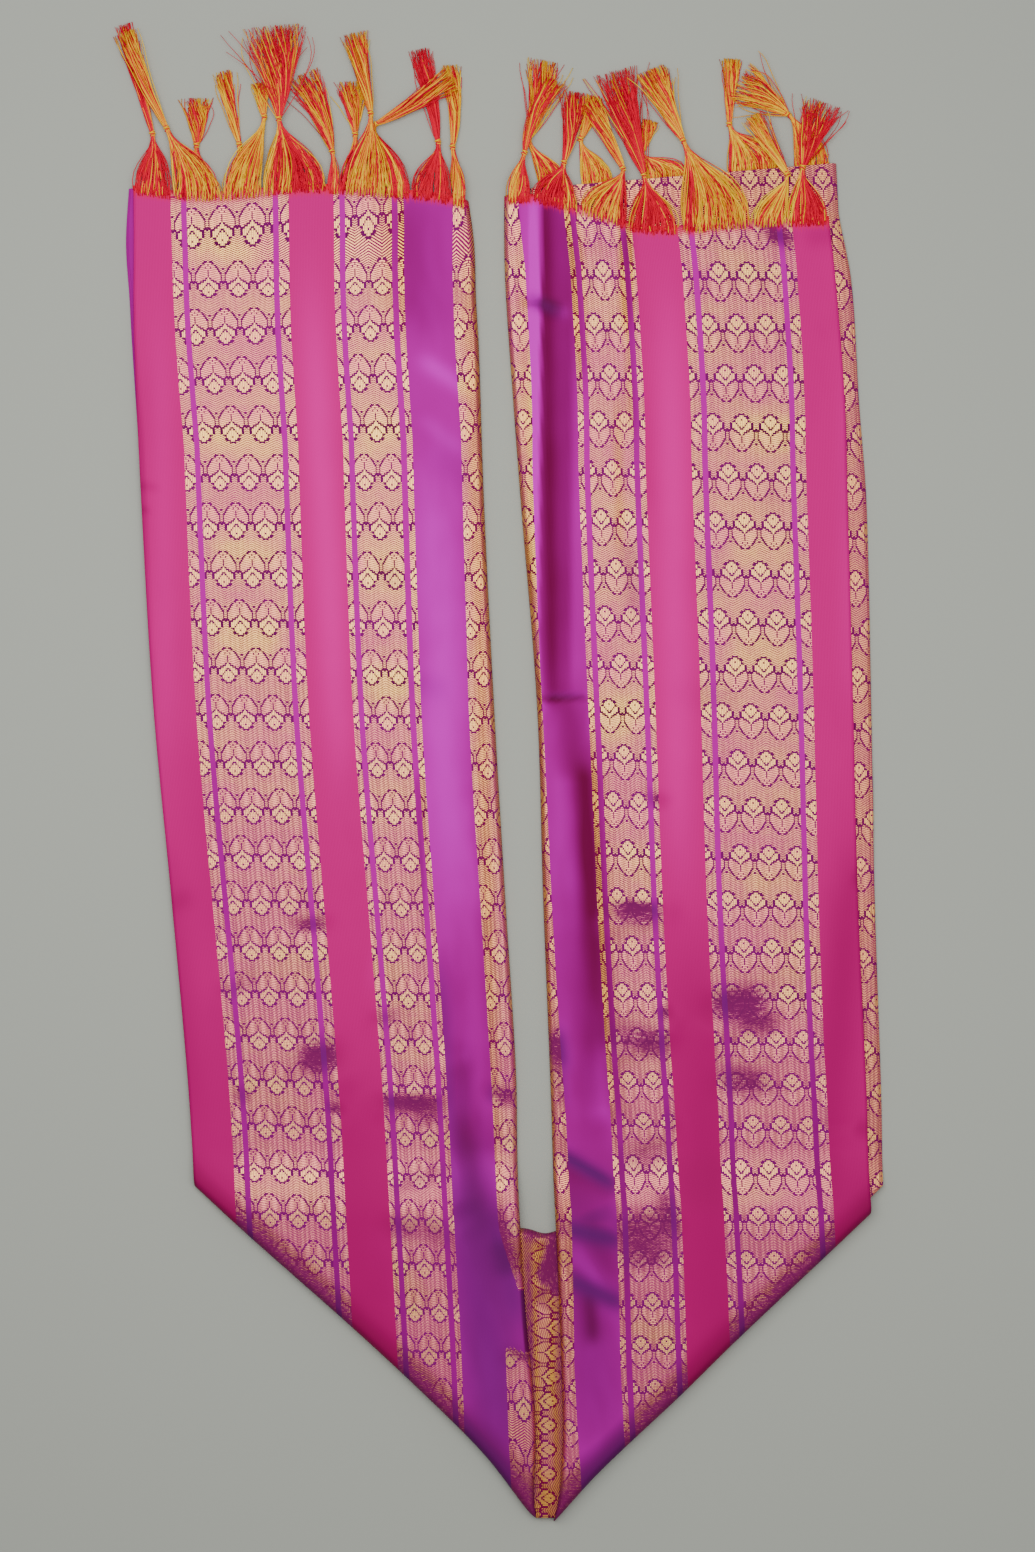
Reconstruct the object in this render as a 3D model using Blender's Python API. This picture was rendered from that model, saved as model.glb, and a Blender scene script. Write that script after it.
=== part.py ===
"""A zari shawl: one long silk cloth folded lengthwise into a band and laid flat in a V.

The band runs down from its tasselled left end, turns under itself on a slanting fold, crosses
behind, turns again and runs up to its tasselled right end. Each stretch that shows is a wall of
cloth over one solid of hidden layers, and each tassel is a solid of its own.
"""

import math
from collections import namedtuple

import bmesh
import bpy
from mathutils import Vector

# Sizes and places are in millimetres, and become metres when a mesh is made
MM = 0.001

# Moves the laid-out cloth over the middle of its own base
SHIFT = Vector((-1.8, 3.3, 0.0))

# Cloth and the gaps between pieces
CLOTH = 1.2
GAP = 0.3

# Heights of the folded band: the hidden layers, then the face cloth over them
HIDDEN_HEIGHT = 3.6
STACK_AT_SELVEDGE = 5.3
STACK_AT_MIDDLE = 6.4
STACK_AT_FOLD = 7.6

# The cross stretch that both arms climb over, and how the arms rise before its north edge
CROSS_NORTH = -344.0
CROSS_SOUTH = -562.0
CROSS_HEIGHT = 8.0
CROSS_TIP_LEFT = 28.7
CROSS_TIP_RIGHT = 39.6
CLIMB_START = 62.0
CLIMB_END = 8.0
CLIMB_LAG = 7.0

# Radii, seen from above, of the long inner fold, the slanting turns and the cross's edges
FOLD_RADIUS = 4.0
TURN_RADIUS = 7.0
CROSS_RADIUS = 4.0
ROUND_STEPS = 4
UNDER_TURN_INSET = 9.2
CROSS_LAYERS = 3
CROSS_LAYER_STEP = 1.8
CROSS_COLUMNS = 9

# The outer edge of an arm's hidden layers: how far in, and how high as a share of their height
EdgeSpot = namedtuple("EdgeSpot", "inward height")
LAYERED_EDGE = [EdgeSpot(3.4, 1.0), EdgeSpot(1.6, 0.83), EdgeSpot(2.2, 0.5), EdgeSpot(0.4, 0.35),
                EdgeSpot(0.0, 0.2), EdgeSpot(1.0, 0.0)]
INNER_CHAMFER = 1.2

# Where the hidden layers have a ring of points: before the climb, then from the step over the cross
FLOOR_STATIONS = [300.0, 150.0, 0.0, -100.0, -200.0, -260.0]
CLIMB_STATIONS = 9
CLIMB_SPACING = 6.0
STEP_FOOT = 1.6
STEP_HEAD = 1.0
OVER_CROSS_STATIONS = [-360.0, -380.0, -410.0, -440.0, -470.0, -500.0, -520.0, -534.0]

# A row gives the x of the face cloth's selvedge, of the inner fold and of the layers' outer fold
ArmRow = namedtuple("ArmRow", "y selvedge fold under")
LEFT_ROWS = [
    ArmRow(y=440, selvedge=-275.2, fold=-25.5, under=-279.4),
    ArmRow(y=396, selvedge=-274.8, fold=-19.5, under=-281.7),
    ArmRow(y=354, selvedge=-275.0, fold=-18.0, under=-279.0),
    ArmRow(y=319, selvedge=-274.5, fold=-16.0, under=-277.0),
    ArmRow(y=201, selvedge=-269.2, fold=-12.0, under=-269.0),
    ArmRow(y=48, selvedge=-260.2, fold=-4.5, under=-259.0),
    ArmRow(y=-94, selvedge=-246.8, fold=3.8, under=-245.5),
    ArmRow(y=-227, selvedge=-234.8, fold=12.0, under=-233.5),
    ArmRow(y=-307, selvedge=-229.5, fold=13.5, under=-228.0),
    ArmRow(y=-404, selvedge=-224.0, fold=19.1, under=-222.5),
    ArmRow(y=-490, selvedge=-220.0, fold=26.6, under=-218.5),
    ArmRow(y=-546, selvedge=-217.0, fold=25.6, under=-215.5),
    ArmRow(y=-563, selvedge=-216.0, fold=27.7, under=-214.5),
]
RIGHT_ROWS = [
    ArmRow(y=455, selvedge=244.0, fold=4.0, under=252.0),
    ArmRow(y=422, selvedge=246.0, fold=3.0, under=254.3),
    ArmRow(y=366, selvedge=252.0, fold=3.8, under=264.5),
    ArmRow(y=277, selvedge=258.8, fold=9.8, under=270.0),
    ArmRow(y=201, selvedge=261.0, fold=15.5, under=275.7),
    ArmRow(y=48, selvedge=265.0, fold=27.7, under=279.5),
    ArmRow(y=-94, selvedge=268.5, fold=32.2, under=282.0),
    ArmRow(y=-247, selvedge=275.2, fold=38.2, under=286.8),
    ArmRow(y=-307, selvedge=276.8, fold=40.0, under=287.8),
    ArmRow(y=-378, selvedge=280.5, fold=43.4, under=290.0),
    ArmRow(y=-490, selvedge=286.0, fold=47.1, under=295.0),
    ArmRow(y=-537, selvedge=289.0, fold=45.0, under=298.0),
    ArmRow(y=-565, selvedge=291.0, fold=40.5, under=300.0),
]

# Outlines seen from above: the slanting turns, and the cut ends that carry the tassels
Spot = namedtuple("Spot", "x y")
LEFT_TURN = [Spot(-228.5, -313.5), Spot(-187, -351.5), Spot(-109.6, -420), Spot(-52.7, -473),
             Spot(-11.6, -514.5), Spot(21.7, -557.3), Spot(27.7, -562.5)]
RIGHT_TURN = [Spot(40.5, -564.7), Spot(75, -526.9), Spot(135.3, -470), Spot(175.5, -430.5),
              Spot(249, -361.2), Spot(278.2, -333.5)]
LEFT_END = [Spot(-275, 438.5), Spot(-222, 433.5), Spot(-144, 439.5), Spot(-99, 437), Spot(-55, 433.5),
            Spot(-25, 427.5)]
RIGHT_END = [Spot(3, 431), Spot(25, 431.5), Spot(64.5, 422), Spot(105, 409.5), Spot(136, 408.7),
             Spot(184, 413), Spot(246, 415.5)]
LEFT_UNDER_END = [Spot(-282, 437), Spot(-25, 425)]
RIGHT_UNDER_END = [Spot(3, 435), Spot(255, 456)]

# side points from the arm's middle to its inner fold; inward leads from the turn into the arm
Arm = namedtuple("Arm", "name side rows turn end under_end inward")
LEFT = Arm("left", 1.0, LEFT_ROWS, LEFT_TURN, LEFT_END, LEFT_UNDER_END, Vector((0.69, 0.724)))
RIGHT = Arm("right", -1.0, RIGHT_ROWS, RIGHT_TURN, RIGHT_END, RIGHT_UNDER_END, Vector((-0.697, 0.717)))

# The largest folds: a soft ridge from one point to another, with its half width and height
Ridge = namedtuple("Ridge", "x1 y1 x2 y2 half_width height")
RIDGES = {
    "left": [
        Ridge(-40, -226, -28, -320, 11, 2.4),
        Ridge(-150, -218, -122, -230, 12, 1.8),
        Ridge(-92, -252, -50, -246, 9, 1.8),
        Ridge(-30, -350, 4, -430, 11, 2.0),
    ],
    "right": [
        Ridge(28, 420, 33, 55, 8, 2.8),
        Ridge(57, -10, 82, -250, 12, 3.0),
        Ridge(84, -114, 122, -108, 10, 2.0),
        Ridge(90, -210, 128, -196, 10, 1.8),
        Ridge(158, -196, 198, -180, 12, 2.0),
        Ridge(60, -345, 84, -395, 12, 2.0),
    ],
}

# Shares of an arm's length where the wall has its points: far apart first, then close over the cross
LONG_ROWS = 22
CLOSE_ROWS = 26
CLOSE_FROM = 0.7
ARM_COLUMNS = 14

# Tassels: the root on the cloth's end from x1 to x2, the knot, then the middle and spread of its tips
Tassel = namedtuple("Tassel", "arm layer yarn x1 x2 knot_x knot_y knot_z tip_x tip_y tip_z spread")
TASSELS = [
    Tassel("left", "face", "red", -274, -247, -261.0, 478.0, 3.0, -282.7, 558.0, 1.4, 8),
    Tassel("left", "face", "gold", -244, -210, -249.8, 481.0, 6.2, -277.5, 553.5, 3.6, 9),
    Tassel("left", "under", "gold", -242, -216, -228.0, 469.5, 1.9, -229.0, 504.0, 1.2, 17),
    Tassel("left", "under", "red", -206, -186, -195.8, 470.0, 1.9, -207.4, 524.0, 1.2, 9),
    Tassel("left", "face", "gold", -207, -180, -177.0, 490.5, 3.0, -179.0, 516.0, 1.4, 9),
    Tassel("left", "face", "red", -177, -131, -165.8, 488.3, 7.4, -171.8, 556.5, 5.0, 36),
    Tassel("left", "face", "gold", -128, -122, -126.0, 464.3, 4.4, -150.4, 520.5, 2.2, 20),
    Tassel("left", "face", "red", -120, -86, -96.8, 492.0, 7.6, -109.5, 552.0, 3.0, 13),
    Tassel("left", "under", "red", -119, -99, -108.8, 477.8, 1.9, -111.4, 516.7, 1.2, 17),
    Tassel("left", "face", "red", -83, -68, -93.8, 484.5, 3.9, -38.6, 518.2, 6.2, 14),
    Tassel("left", "face", "gold", -65, -38, -46.5, 471.8, 3.2, -60.4, 540.0, 1.4, 12),
    Tassel("left", "face", "red", -35, -27, -35.5, 468.0, 3.2, -40.5, 528.0, 1.4, 9),
    Tassel("right", "face", "gold", 6, 22, 18.4, 463.0, 6.6, 45.7, 513.7, 6.0, 10),
    Tassel("right", "under", "gold", 30, 50, 21.7, 474.0, 2.0, 33.4, 531.7, 1.2, 22),
    Tassel("right", "face", "red", 25, 57, 48.0, 456.0, 4.4, 55.0, 508.0, 3.2, 11),
    Tassel("right", "under", "red", 62, 84, 60.5, 474.0, 1.9, 70.0, 506.0, 1.2, 10),
    Tassel("right", "face", "gold", 61, 94, 92.2, 450.8, 8.2, 67.5, 500.2, 6.6, 9),
    Tassel("right", "face", "red", 97, 132, 108.0, 446.0, 5.6, 87.8, 523.5, 2.6, 26),
    Tassel("right", "under", "red", 112, 140, 106.5, 464.0, 1.9, 112.0, 488.0, 1.2, 8),
    Tassel("right", "face", "gold", 137, 187, 137.5, 471.8, 6.8, 115.5, 525.7, 3.4, 19),
    Tassel("right", "under", "gold", 172, 210, 172.3, 485.2, 2.0, 175.0, 533.2, 1.2, 9),
    Tassel("right", "face", "red", 191, 213, 215.5, 446.5, 8.4, 191.2, 490.5, 7.0, 10),
    Tassel("right", "under", "red", 222, 246, 216.5, 492.5, 2.6, 179.5, 516.0, 4.0, 27),
    Tassel("right", "face", "red", 216, 245, 227.0, 452.0, 6.4, 243.7, 500.2, 2.6, 24),
]
TAIL_LOCKS = 5
NARROW_TAIL = 14.0
BROAD_TAIL = 20.0
GATHER_LOCKS = 4
NARROW_ROOT = 12.0
GATHER_SHARE = 0.62
KNOT_RADIUS = 2.7
KNOT_HEIGHT = 2.4
TAIL_ARC = math.radians(100)
GATHER_ARC = math.radians(80)
ROOT_GAP = 0.5
STRIP_DEPTH = 2.0
STRIP_HEIGHT = 1.0
UNDER_STRIP_LEVEL = 1.8
LOCK_WIDTH = 0.8
LOCK_HEIGHT = 0.8

# A tail's locks part more towards their tips, bow a little to one side and end unevenly
TAIL_STEPS = (0.3, 0.66, 1.0)
TAIL_PARTING = 1.25
TAIL_BOW = 0.035
TAIL_DROP = 0.7
UNEVEN_TIPS = 0.07
LEAVE_KNOT = 0.8

# A gathered lock rises a share of the way while it is drawn in towards the knot
GatherStep = namedtuple("GatherStep", "share drawn_in height")
GATHER_STEPS = [GatherStep(0.35, 0.24, 1.1), GatherStep(0.7, 0.62, 1.3)]

SHARP_ANGLE = math.radians(35)
MAGENTA_SILK = (0.50, 0.03, 0.16, 1.0)
PURPLE_SILK = (0.27, 0.03, 0.30, 1.0)
GOLD_YARN = (0.80, 0.38, 0.03, 1.0)
RED_YARN = (0.80, 0.05, 0.03, 1.0)


def curve(points, place):
    """The value at a place on a smooth curve through (place, value) pairs in rising order."""
    count = len(points)
    k = 0
    while k < count - 2 and place > points[k + 1][0]:
        k += 1
    (x0, y0), (x1, y1) = points[k], points[k + 1]
    straight = (y1 - y0) / (x1 - x0)
    if place <= x0 or place >= x1:
        return y0 + straight * (place - x0)
    before = points[k - 1] if k > 0 else None
    after = points[k + 2] if k + 2 < count else None
    slope0 = (y1 - before[1]) / (x1 - before[0]) if before else straight
    slope1 = (after[1] - y0) / (after[0] - x0) if after else straight
    s = (place - x0) / (x1 - x0)
    width = x1 - x0
    return (
        y0 * (1 + 2 * s) * (1 - s) ** 2
        + slope0 * width * s * (1 - s) ** 2
        + y1 * s * s * (3 - 2 * s)
        + slope1 * width * s * s * (s - 1)
    )


def smooth(value):
    """0 below 0 and 1 above 1, with an even rise between."""
    value = min(1.0, max(0.0, value))
    return value * value * (3 - 2 * value)


def edge_x(arm, column, y):
    """The x of one of the arm's long edges at a given y."""
    return curve([(row.y, getattr(row, column)) for row in reversed(arm.rows)], y)


def turn_x(arm, y, inset):
    """The x of the arm's slanting turn at a given y, moved in from its outline by inset."""
    moved = arm.inward * inset
    line = sorted((spot.y, spot.x) for spot in arm.turn)
    return curve(line, y - moved.y) + moved.x


def underside(y):
    """How far the band is lifted off the floor to climb over the cross stretch."""
    over = y - CROSS_NORTH
    return (CROSS_HEIGHT + GAP) * smooth((CLIMB_START - over) / (CLIMB_START - CLIMB_END))


def ridges(arm, x, y):
    """The height that the large soft folds add at a point."""
    total = 0.0
    for ridge in RIDGES[arm.name]:
        start = Vector((ridge.x1, ridge.y1))
        along = Vector((ridge.x2, ridge.y2)) - start
        share = (Vector((x, y)) - start).dot(along) / along.length_squared
        nearest = start + along * min(1.0, max(0.0, share))
        away = (Vector((x, y)) - nearest).length / ridge.half_width
        total += ridge.height * math.exp(-away * away)
    return total


def stack_height(share):
    """The band's height at a share of its width, 0 at the selvedge and 1 at the inner fold."""
    levels = [(0.0, STACK_AT_SELVEDGE), (0.5, STACK_AT_MIDDLE), (1.0, STACK_AT_FOLD)]
    return curve(levels, share)


def column_x(arm, share, fold_angle, y):
    """The x of one lengthwise column of the face cloth, on the flat or round the inner fold."""
    selvedge = edge_x(arm, "selvedge", y)
    fold = edge_x(arm, "fold", y) - arm.side * FOLD_RADIUS
    return selvedge + share * (fold - selvedge) + arm.side * FOLD_RADIUS * math.sin(fold_angle)


def column_top(arm, share, fold_angle):
    """The y where a column starts, at the cut end."""
    top = 430.0
    for _ in range(4):
        top = curve(arm.end, column_x(arm, share, fold_angle, top))
    return top


def column_foot(arm, share, fold_angle, inset):
    """The y where a column meets the slanting turn, or a line inset from it."""
    low, high = -620.0, 0.0
    for _ in range(30):
        middle = (low + high) / 2
        if arm.side * (column_x(arm, share, fold_angle, middle) - turn_x(arm, middle, inset)) > 0:
            high = middle
        else:
            low = middle
    return high


def face_point(arm, share, fold_angle, length_share, turn_angle):
    """A point on the outside of an arm's face cloth.

    fold_angle goes round the long inner fold and turn_angle round the slanting turn, both from
    0 on the flat to a quarter turn at the rim.
    """
    top = column_top(arm, share, fold_angle)
    foot = column_foot(arm, share, fold_angle, TURN_RADIUS)
    edge = column_foot(arm, share, fold_angle, 0.0)
    y = top + (foot - top) * length_share + (edge - foot) * math.sin(turn_angle)
    x = column_x(arm, share, fold_angle, y)
    lift = underside(y)
    rim = lift + GAP
    height = lift + stack_height(share) + ridges(arm, x, y)
    height = rim + (height - rim) * math.cos(fold_angle)
    height = GAP + (height - GAP) * math.cos(turn_angle)
    return Vector((x, y, height))


def metres(point):
    return (Vector(point) + SHIFT) * MM


def millimetres(point):
    return point / MM - SHIFT


def material(name, colour, roughness, metallic):
    made = bpy.data.materials.new(name)
    made.use_nodes = True
    shader = made.node_tree.nodes["Principled BSDF"]
    shader.inputs["Base Color"].default_value = colour
    shader.inputs["Roughness"].default_value = roughness
    shader.inputs["Metallic"].default_value = metallic
    return made


def add_object(name, mesh, surface):
    mesh.materials.append(surface)
    mesh.shade_smooth()
    mesh.set_sharp_from_angle(angle=SHARP_ANGLE)
    made = bpy.data.objects.new(name, mesh)
    bpy.context.scene.collection.objects.link(made)
    return made


def grid_wall(name, grid, surface):
    """A sheet through a grid of outside points, thickened inward into a wall of cloth."""
    mesh = bpy.data.meshes.new(name)
    maker = bmesh.new()
    points = [[maker.verts.new(metres(p)) for p in row] for row in grid]
    for near, far in zip(points, points[1:]):
        for k in range(len(near) - 1):
            maker.faces.new((near[k], near[k + 1], far[k + 1], far[k]))
    bmesh.ops.recalc_face_normals(maker, faces=maker.faces)
    upward = sum(face.normal.z for face in maker.faces)
    if upward < 0:
        bmesh.ops.reverse_faces(maker, faces=maker.faces)
    maker.to_mesh(mesh)
    maker.free()
    made = add_object(name, mesh, surface)
    shell = made.modifiers.new("Cloth", "SOLIDIFY")
    shell.thickness = CLOTH * MM
    shell.offset = -1
    return made


def finish_solid(maker, name, surface):
    """Close a mesh in progress into an object whose faces all point out."""
    mesh = bpy.data.meshes.new(name)
    bmesh.ops.triangulate(maker, faces=maker.faces)
    bmesh.ops.recalc_face_normals(maker, faces=maker.faces)
    maker.to_mesh(mesh)
    maker.free()
    return add_object(name, mesh, surface)


def loft(name, sections, surface):
    """A closed solid through rings that all have the same number of points."""
    maker = bmesh.new()
    rings = [[maker.verts.new(metres(p)) for p in section] for section in sections]
    for near, far in zip(rings, rings[1:]):
        for k in range(len(near)):
            after = (k + 1) % len(near)
            maker.faces.new((near[k], near[after], far[after], far[k]))
    maker.faces.new(rings[0])
    maker.faces.new(list(reversed(rings[-1])))
    return finish_solid(maker, name, surface)


def spread_shares(count):
    return [k / (count - 1) for k in range(count)]


def round_angles():
    return [math.pi / 2 * (k + 1) / ROUND_STEPS for k in range(ROUND_STEPS)]


def arm_face(arm, surface):
    """The face cloth of one arm, from its cut end round the inner fold and the slanting turn."""
    across = [(share, 0.0) for share in spread_shares(ARM_COLUMNS)]
    across += [(1.0, angle) for angle in round_angles()]
    down = [(CLOSE_FROM * k / LONG_ROWS, 0.0) for k in range(LONG_ROWS)]
    down += [(CLOSE_FROM + (1 - CLOSE_FROM) * share, 0.0) for share in spread_shares(CLOSE_ROWS)]
    down += [(1.0, angle) for angle in round_angles()]
    grid = [[face_point(arm, share, fold_angle, length_share, turn_angle) for share, fold_angle in across]
            for length_share, turn_angle in down]
    return grid_wall(arm.name + "_arm_cloth", grid, surface)


def hidden_section(arm, y, base, on_cut_end=False):
    """A ring across an arm's hidden layers: flat below, with layers at its outer edge."""
    outer = edge_x(arm, "under", y)
    turn = turn_x(arm, y, UNDER_TURN_INSET)
    if arm.side * (turn - outer) > 0:
        outer = turn
    inner = edge_x(arm, "fold", y) - arm.side * (FOLD_RADIUS + CLOTH)
    rise = underside(y + CLIMB_LAG) if base == 0 else base
    top = rise + HIDDEN_HEIGHT
    ring = [(inner, base), (inner, top - INNER_CHAMFER / 2), (inner - arm.side * INNER_CHAMFER, top)]
    for spot in LAYERED_EDGE:
        z = top - (1 - spot.height) * HIDDEN_HEIGHT if spot.height > 0 else base
        ring.append((outer + arm.side * spot.inward, z))
    return [(x, curve(arm.under_end, x) if on_cut_end else y, z) for x, z in ring]


def arm_hidden(arm, surface):
    """The folded layers under one arm: flat on the floor, then up over the cross stretch."""
    climb_top = CROSS_NORTH + CLIMB_START - CLIMB_LAG
    on_floor = FLOOR_STATIONS + [climb_top - CLIMB_SPACING * k for k in range(CLIMB_STATIONS)]
    on_floor += [CROSS_NORTH + STEP_FOOT]
    over_cross = [CROSS_NORTH + STEP_HEAD] + OVER_CROSS_STATIONS
    sections = [hidden_section(arm, arm.under_end[0].y, 0.0, on_cut_end=True)]
    sections += [hidden_section(arm, y, 0.0) for y in on_floor]
    sections += [hidden_section(arm, y, CROSS_HEIGHT + GAP) for y in over_cross]
    return loft(arm.name + "_hidden_layers", sections, surface)


def cross_span(y, inset):
    """The x where the cross stretch starts and ends at a given y, under the two turns."""
    left = min(turn_x(LEFT, y, inset), CROSS_TIP_LEFT)
    right = max(turn_x(RIGHT, y, inset), CROSS_TIP_RIGHT)
    return left, right


def rounded_ends(angles, edge, inward):
    """Rows round a folded edge: each one's y, and its height as a share of the full height."""
    return [(edge + inward * CROSS_RADIUS * (1 - math.sin(angle)), math.cos(angle)) for angle in angles]


def cross_face(surface):
    """The cloth of the cross stretch, rounded over its north edge and its tip."""
    flat_north = CROSS_NORTH - CROSS_RADIUS
    flat_south = CROSS_SOUTH + CROSS_RADIUS
    rows = rounded_ends(reversed(round_angles()), CROSS_NORTH, -1)
    rows += [(flat_north + (flat_south - flat_north) * share, 1.0) for share in spread_shares(18)]
    rows += rounded_ends(round_angles(), CROSS_SOUTH, 1)
    grid = []
    for y, height_share in rows:
        left, right = cross_span(y, UNDER_TURN_INSET)
        height = GAP + (CROSS_HEIGHT - GAP) * height_share
        grid.append([(left + (right - left) * share, y, height) for share in spread_shares(CROSS_COLUMNS)])
    return grid_wall("cross_cloth", grid, surface)


def cross_hidden(surface):
    """The folded layers of the cross stretch, flat on the floor, with a layered north edge."""
    top = CROSS_HEIGHT - CLOTH - GAP
    flat_north = CROSS_NORTH - CROSS_RADIUS - CLOTH
    flat_south = CROSS_SOUTH + CROSS_RADIUS + CLOTH
    rows = [(flat_north + CROSS_LAYER_STEP * (CROSS_LAYERS - 1 - k), top * (k + 1) / CROSS_LAYERS)
            for k in range(CROSS_LAYERS)]
    rows += [(flat_north + (flat_south - flat_north) * share, top) for share in spread_shares(16)[1:]]
    sections = []
    for y, height in rows:
        left, right = cross_span(y, UNDER_TURN_INSET + GAP)
        sections.append([(left, y, 0.0), (right, y, 0.0), (right, y, height), (left, y, height)])
    return loft("cross_hidden_layers", sections, surface)


def tassel_root(row, arm, x):
    """The point of the strip's back edge at x: just off the cut end, level with its cloth."""
    if row.layer == "under":
        return Vector((x, curve(arm.under_end, x) + ROOT_GAP, UNDER_STRIP_LEVEL))
    y = cut_end_y(arm, x)
    share = (x - edge_x(arm, "selvedge", y)) / (edge_x(arm, "fold", y) - edge_x(arm, "selvedge", y))
    return Vector((x, y + ROOT_GAP, stack_height(share) + ridges(arm, x, y) - CLOTH / 2))


def cut_end_y(arm, x):
    """The y of the face cloth's cut end at x, on the straight runs between its columns."""
    tops = sorted((column_x(arm, share, 0.0, column_top(arm, share, 0.0)), column_top(arm, share, 0.0))
                  for share in spread_shares(ARM_COLUMNS))
    for (x0, y0), (x1, y1) in zip(tops, tops[1:]):
        if x <= x1:
            return y0 + (y1 - y0) * (x - x0) / (x1 - x0)
    return tops[-1][1]


def quad_ring(maker, centre, sideways, width, height):
    """Four corners of a lock's section: low left, low right, high right, high left."""
    across = sideways * (width / 2)
    up = Vector((0, 0, height / 2))
    corners = (centre - across - up, centre + across - up, centre + across + up, centre - across + up)
    return [maker.verts.new(metres(corner)) for corner in corners]


def middle(corners):
    return sum((corner.co for corner in corners), Vector()) / len(corners)


def join_rings(maker, near, far):
    for k in range(4):
        after = (k + 1) % 4
        maker.faces.new((near[k], near[after], far[after], far[k]))


def knot_corners(maker, knot, tip_angle, root_angle, tails, gathers):
    """The knot's low and high corners: an arc of tail sides, then an arc of gather sides."""
    angles = [tip_angle - TAIL_ARC / 2 + TAIL_ARC * k / tails for k in range(tails + 1)]
    angles += [root_angle - GATHER_ARC / 2 + GATHER_ARC * k / gathers for k in range(gathers + 1)]
    up = Vector((0, 0, KNOT_HEIGHT / 2))
    rims = [knot + Vector((math.cos(angle), math.sin(angle), 0)) * KNOT_RADIUS for angle in angles]
    low = [maker.verts.new(metres(rim - up)) for rim in rims]
    high = [maker.verts.new(metres(rim + up)) for rim in rims]
    return low, high


def tassel(number, row, surface):
    """A tassel: a strip along the cloth's end, locks gathered from it to a knot, and a tail."""
    arm = LEFT if row.arm == "left" else RIGHT
    gathers = GATHER_LOCKS // 2 if row.x2 - row.x1 < NARROW_ROOT else GATHER_LOCKS
    tails = TAIL_LOCKS - (row.spread < NARROW_TAIL) - (row.spread < BROAD_TAIL)
    knot = Vector((row.knot_x, row.knot_y, row.knot_z))
    to_tip = Vector((row.tip_x, row.tip_y, row.tip_z)) - knot
    to_root = tassel_root(row, arm, (row.x1 + row.x2) / 2) - knot
    tip_angle = math.atan2(to_tip.y, to_tip.x)
    root_angle = math.atan2(to_root.y, to_root.x) % (2 * math.pi)

    maker = bmesh.new()
    low, high = knot_corners(maker, knot, tip_angle, root_angle, tails, gathers)
    maker.faces.new(high)
    maker.faces.new(list(reversed(low)))
    mouths = add_strip(maker, row, arm, gathers)
    for side in range(len(low)):
        after = (side + 1) % len(low)
        if side < tails:
            opening = [low[after], low[side], high[side], high[after]]
            add_tail_lock(maker, opening, row, knot, to_tip, side, tails)
        elif tails < side <= tails + gathers:
            opening = [low[side], low[after], high[after], high[side]]
            add_gather_lock(maker, opening, mouths[side - tails - 1])
        else:
            maker.faces.new((low[side], low[after], high[after], high[side]))
    return finish_solid(maker, f"{row.arm}_tassel_{number:02d}", surface)


def add_tail_lock(maker, opening, row, knot, along, side, tails):
    """One lock of the tail, drawn from a side of the knot to its own tip."""
    flat = Vector((along.x, along.y, 0)).normalized()
    sideways = Vector((flat.y, -flat.x, 0))
    order = 0.5 - (side + 0.5) / tails
    root = millimetres(middle(opening))
    reach = 1.0 - UNEVEN_TIPS * ((side * 3 + row.knot_x) % 2)
    near = opening
    for share in TAIL_STEPS:
        parting = order * row.spread * share ** TAIL_PARTING
        bow = TAIL_BOW * along.length * math.sin(math.pi * share)
        centre = knot + along * (share * reach) + sideways * (parting + bow)
        centre += (root - knot) * (LEAVE_KNOT * (1 - share))
        centre.z = row.knot_z + (row.tip_z - row.knot_z) * share ** TAIL_DROP
        far = quad_ring(maker, centre, sideways, LOCK_WIDTH, LOCK_HEIGHT)
        join_rings(maker, near, far)
        near = far
    maker.faces.new(near)


def add_strip(maker, row, arm, gathers):
    """The strip along the cloth's end; its front is open where each lock is gathered from it."""
    pitch = (row.x2 - row.x1) / gathers
    edges = []
    for k in range(gathers):
        centre = row.x1 + pitch * (k + 0.5)
        half = pitch * GATHER_SHARE / 2
        edges += [centre - half, centre + half]
    rows = []
    for x in edges:
        back = tassel_root(row, arm, x)
        front = back + Vector((0, STRIP_DEPTH, 0))
        up = Vector((0, 0, STRIP_HEIGHT / 2))
        corners = (back - up, front - up, front + up, back + up)
        rows.append([maker.verts.new(metres(corner)) for corner in corners])
    for k in range(len(rows) - 1):
        near, far = rows[k], rows[k + 1]
        maker.faces.new((near[0], near[1], far[1], far[0]))
        maker.faces.new((near[2], near[3], far[3], far[2]))
        maker.faces.new((near[3], near[0], far[0], far[3]))
        if k % 2:
            maker.faces.new((near[1], near[2], far[2], far[1]))
    maker.faces.new(rows[0])
    maker.faces.new(list(reversed(rows[-1])))
    return [[rows[k][1], rows[k + 1][1], rows[k + 1][2], rows[k][2]] for k in range(0, len(rows), 2)]


def add_gather_lock(maker, opening, mouth):
    """One lock from the strip's mouth to a side of the knot, drawn in as it rises."""
    root = millimetres(middle(mouth))
    end = millimetres(middle(opening))
    mouth_width = (mouth[1].co.x - mouth[0].co.x) / MM
    near = mouth
    for step in GATHER_STEPS:
        centre = root + (end - root) * step.share
        centre.x = root.x + (end.x - root.x) * step.drawn_in
        width = mouth_width * (1 - step.drawn_in) + LOCK_WIDTH * step.drawn_in
        far = quad_ring(maker, centre, Vector((1, 0, 0)), width, step.height)
        join_rings(maker, near, far)
        near = far
    join_rings(maker, near, opening)


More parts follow.
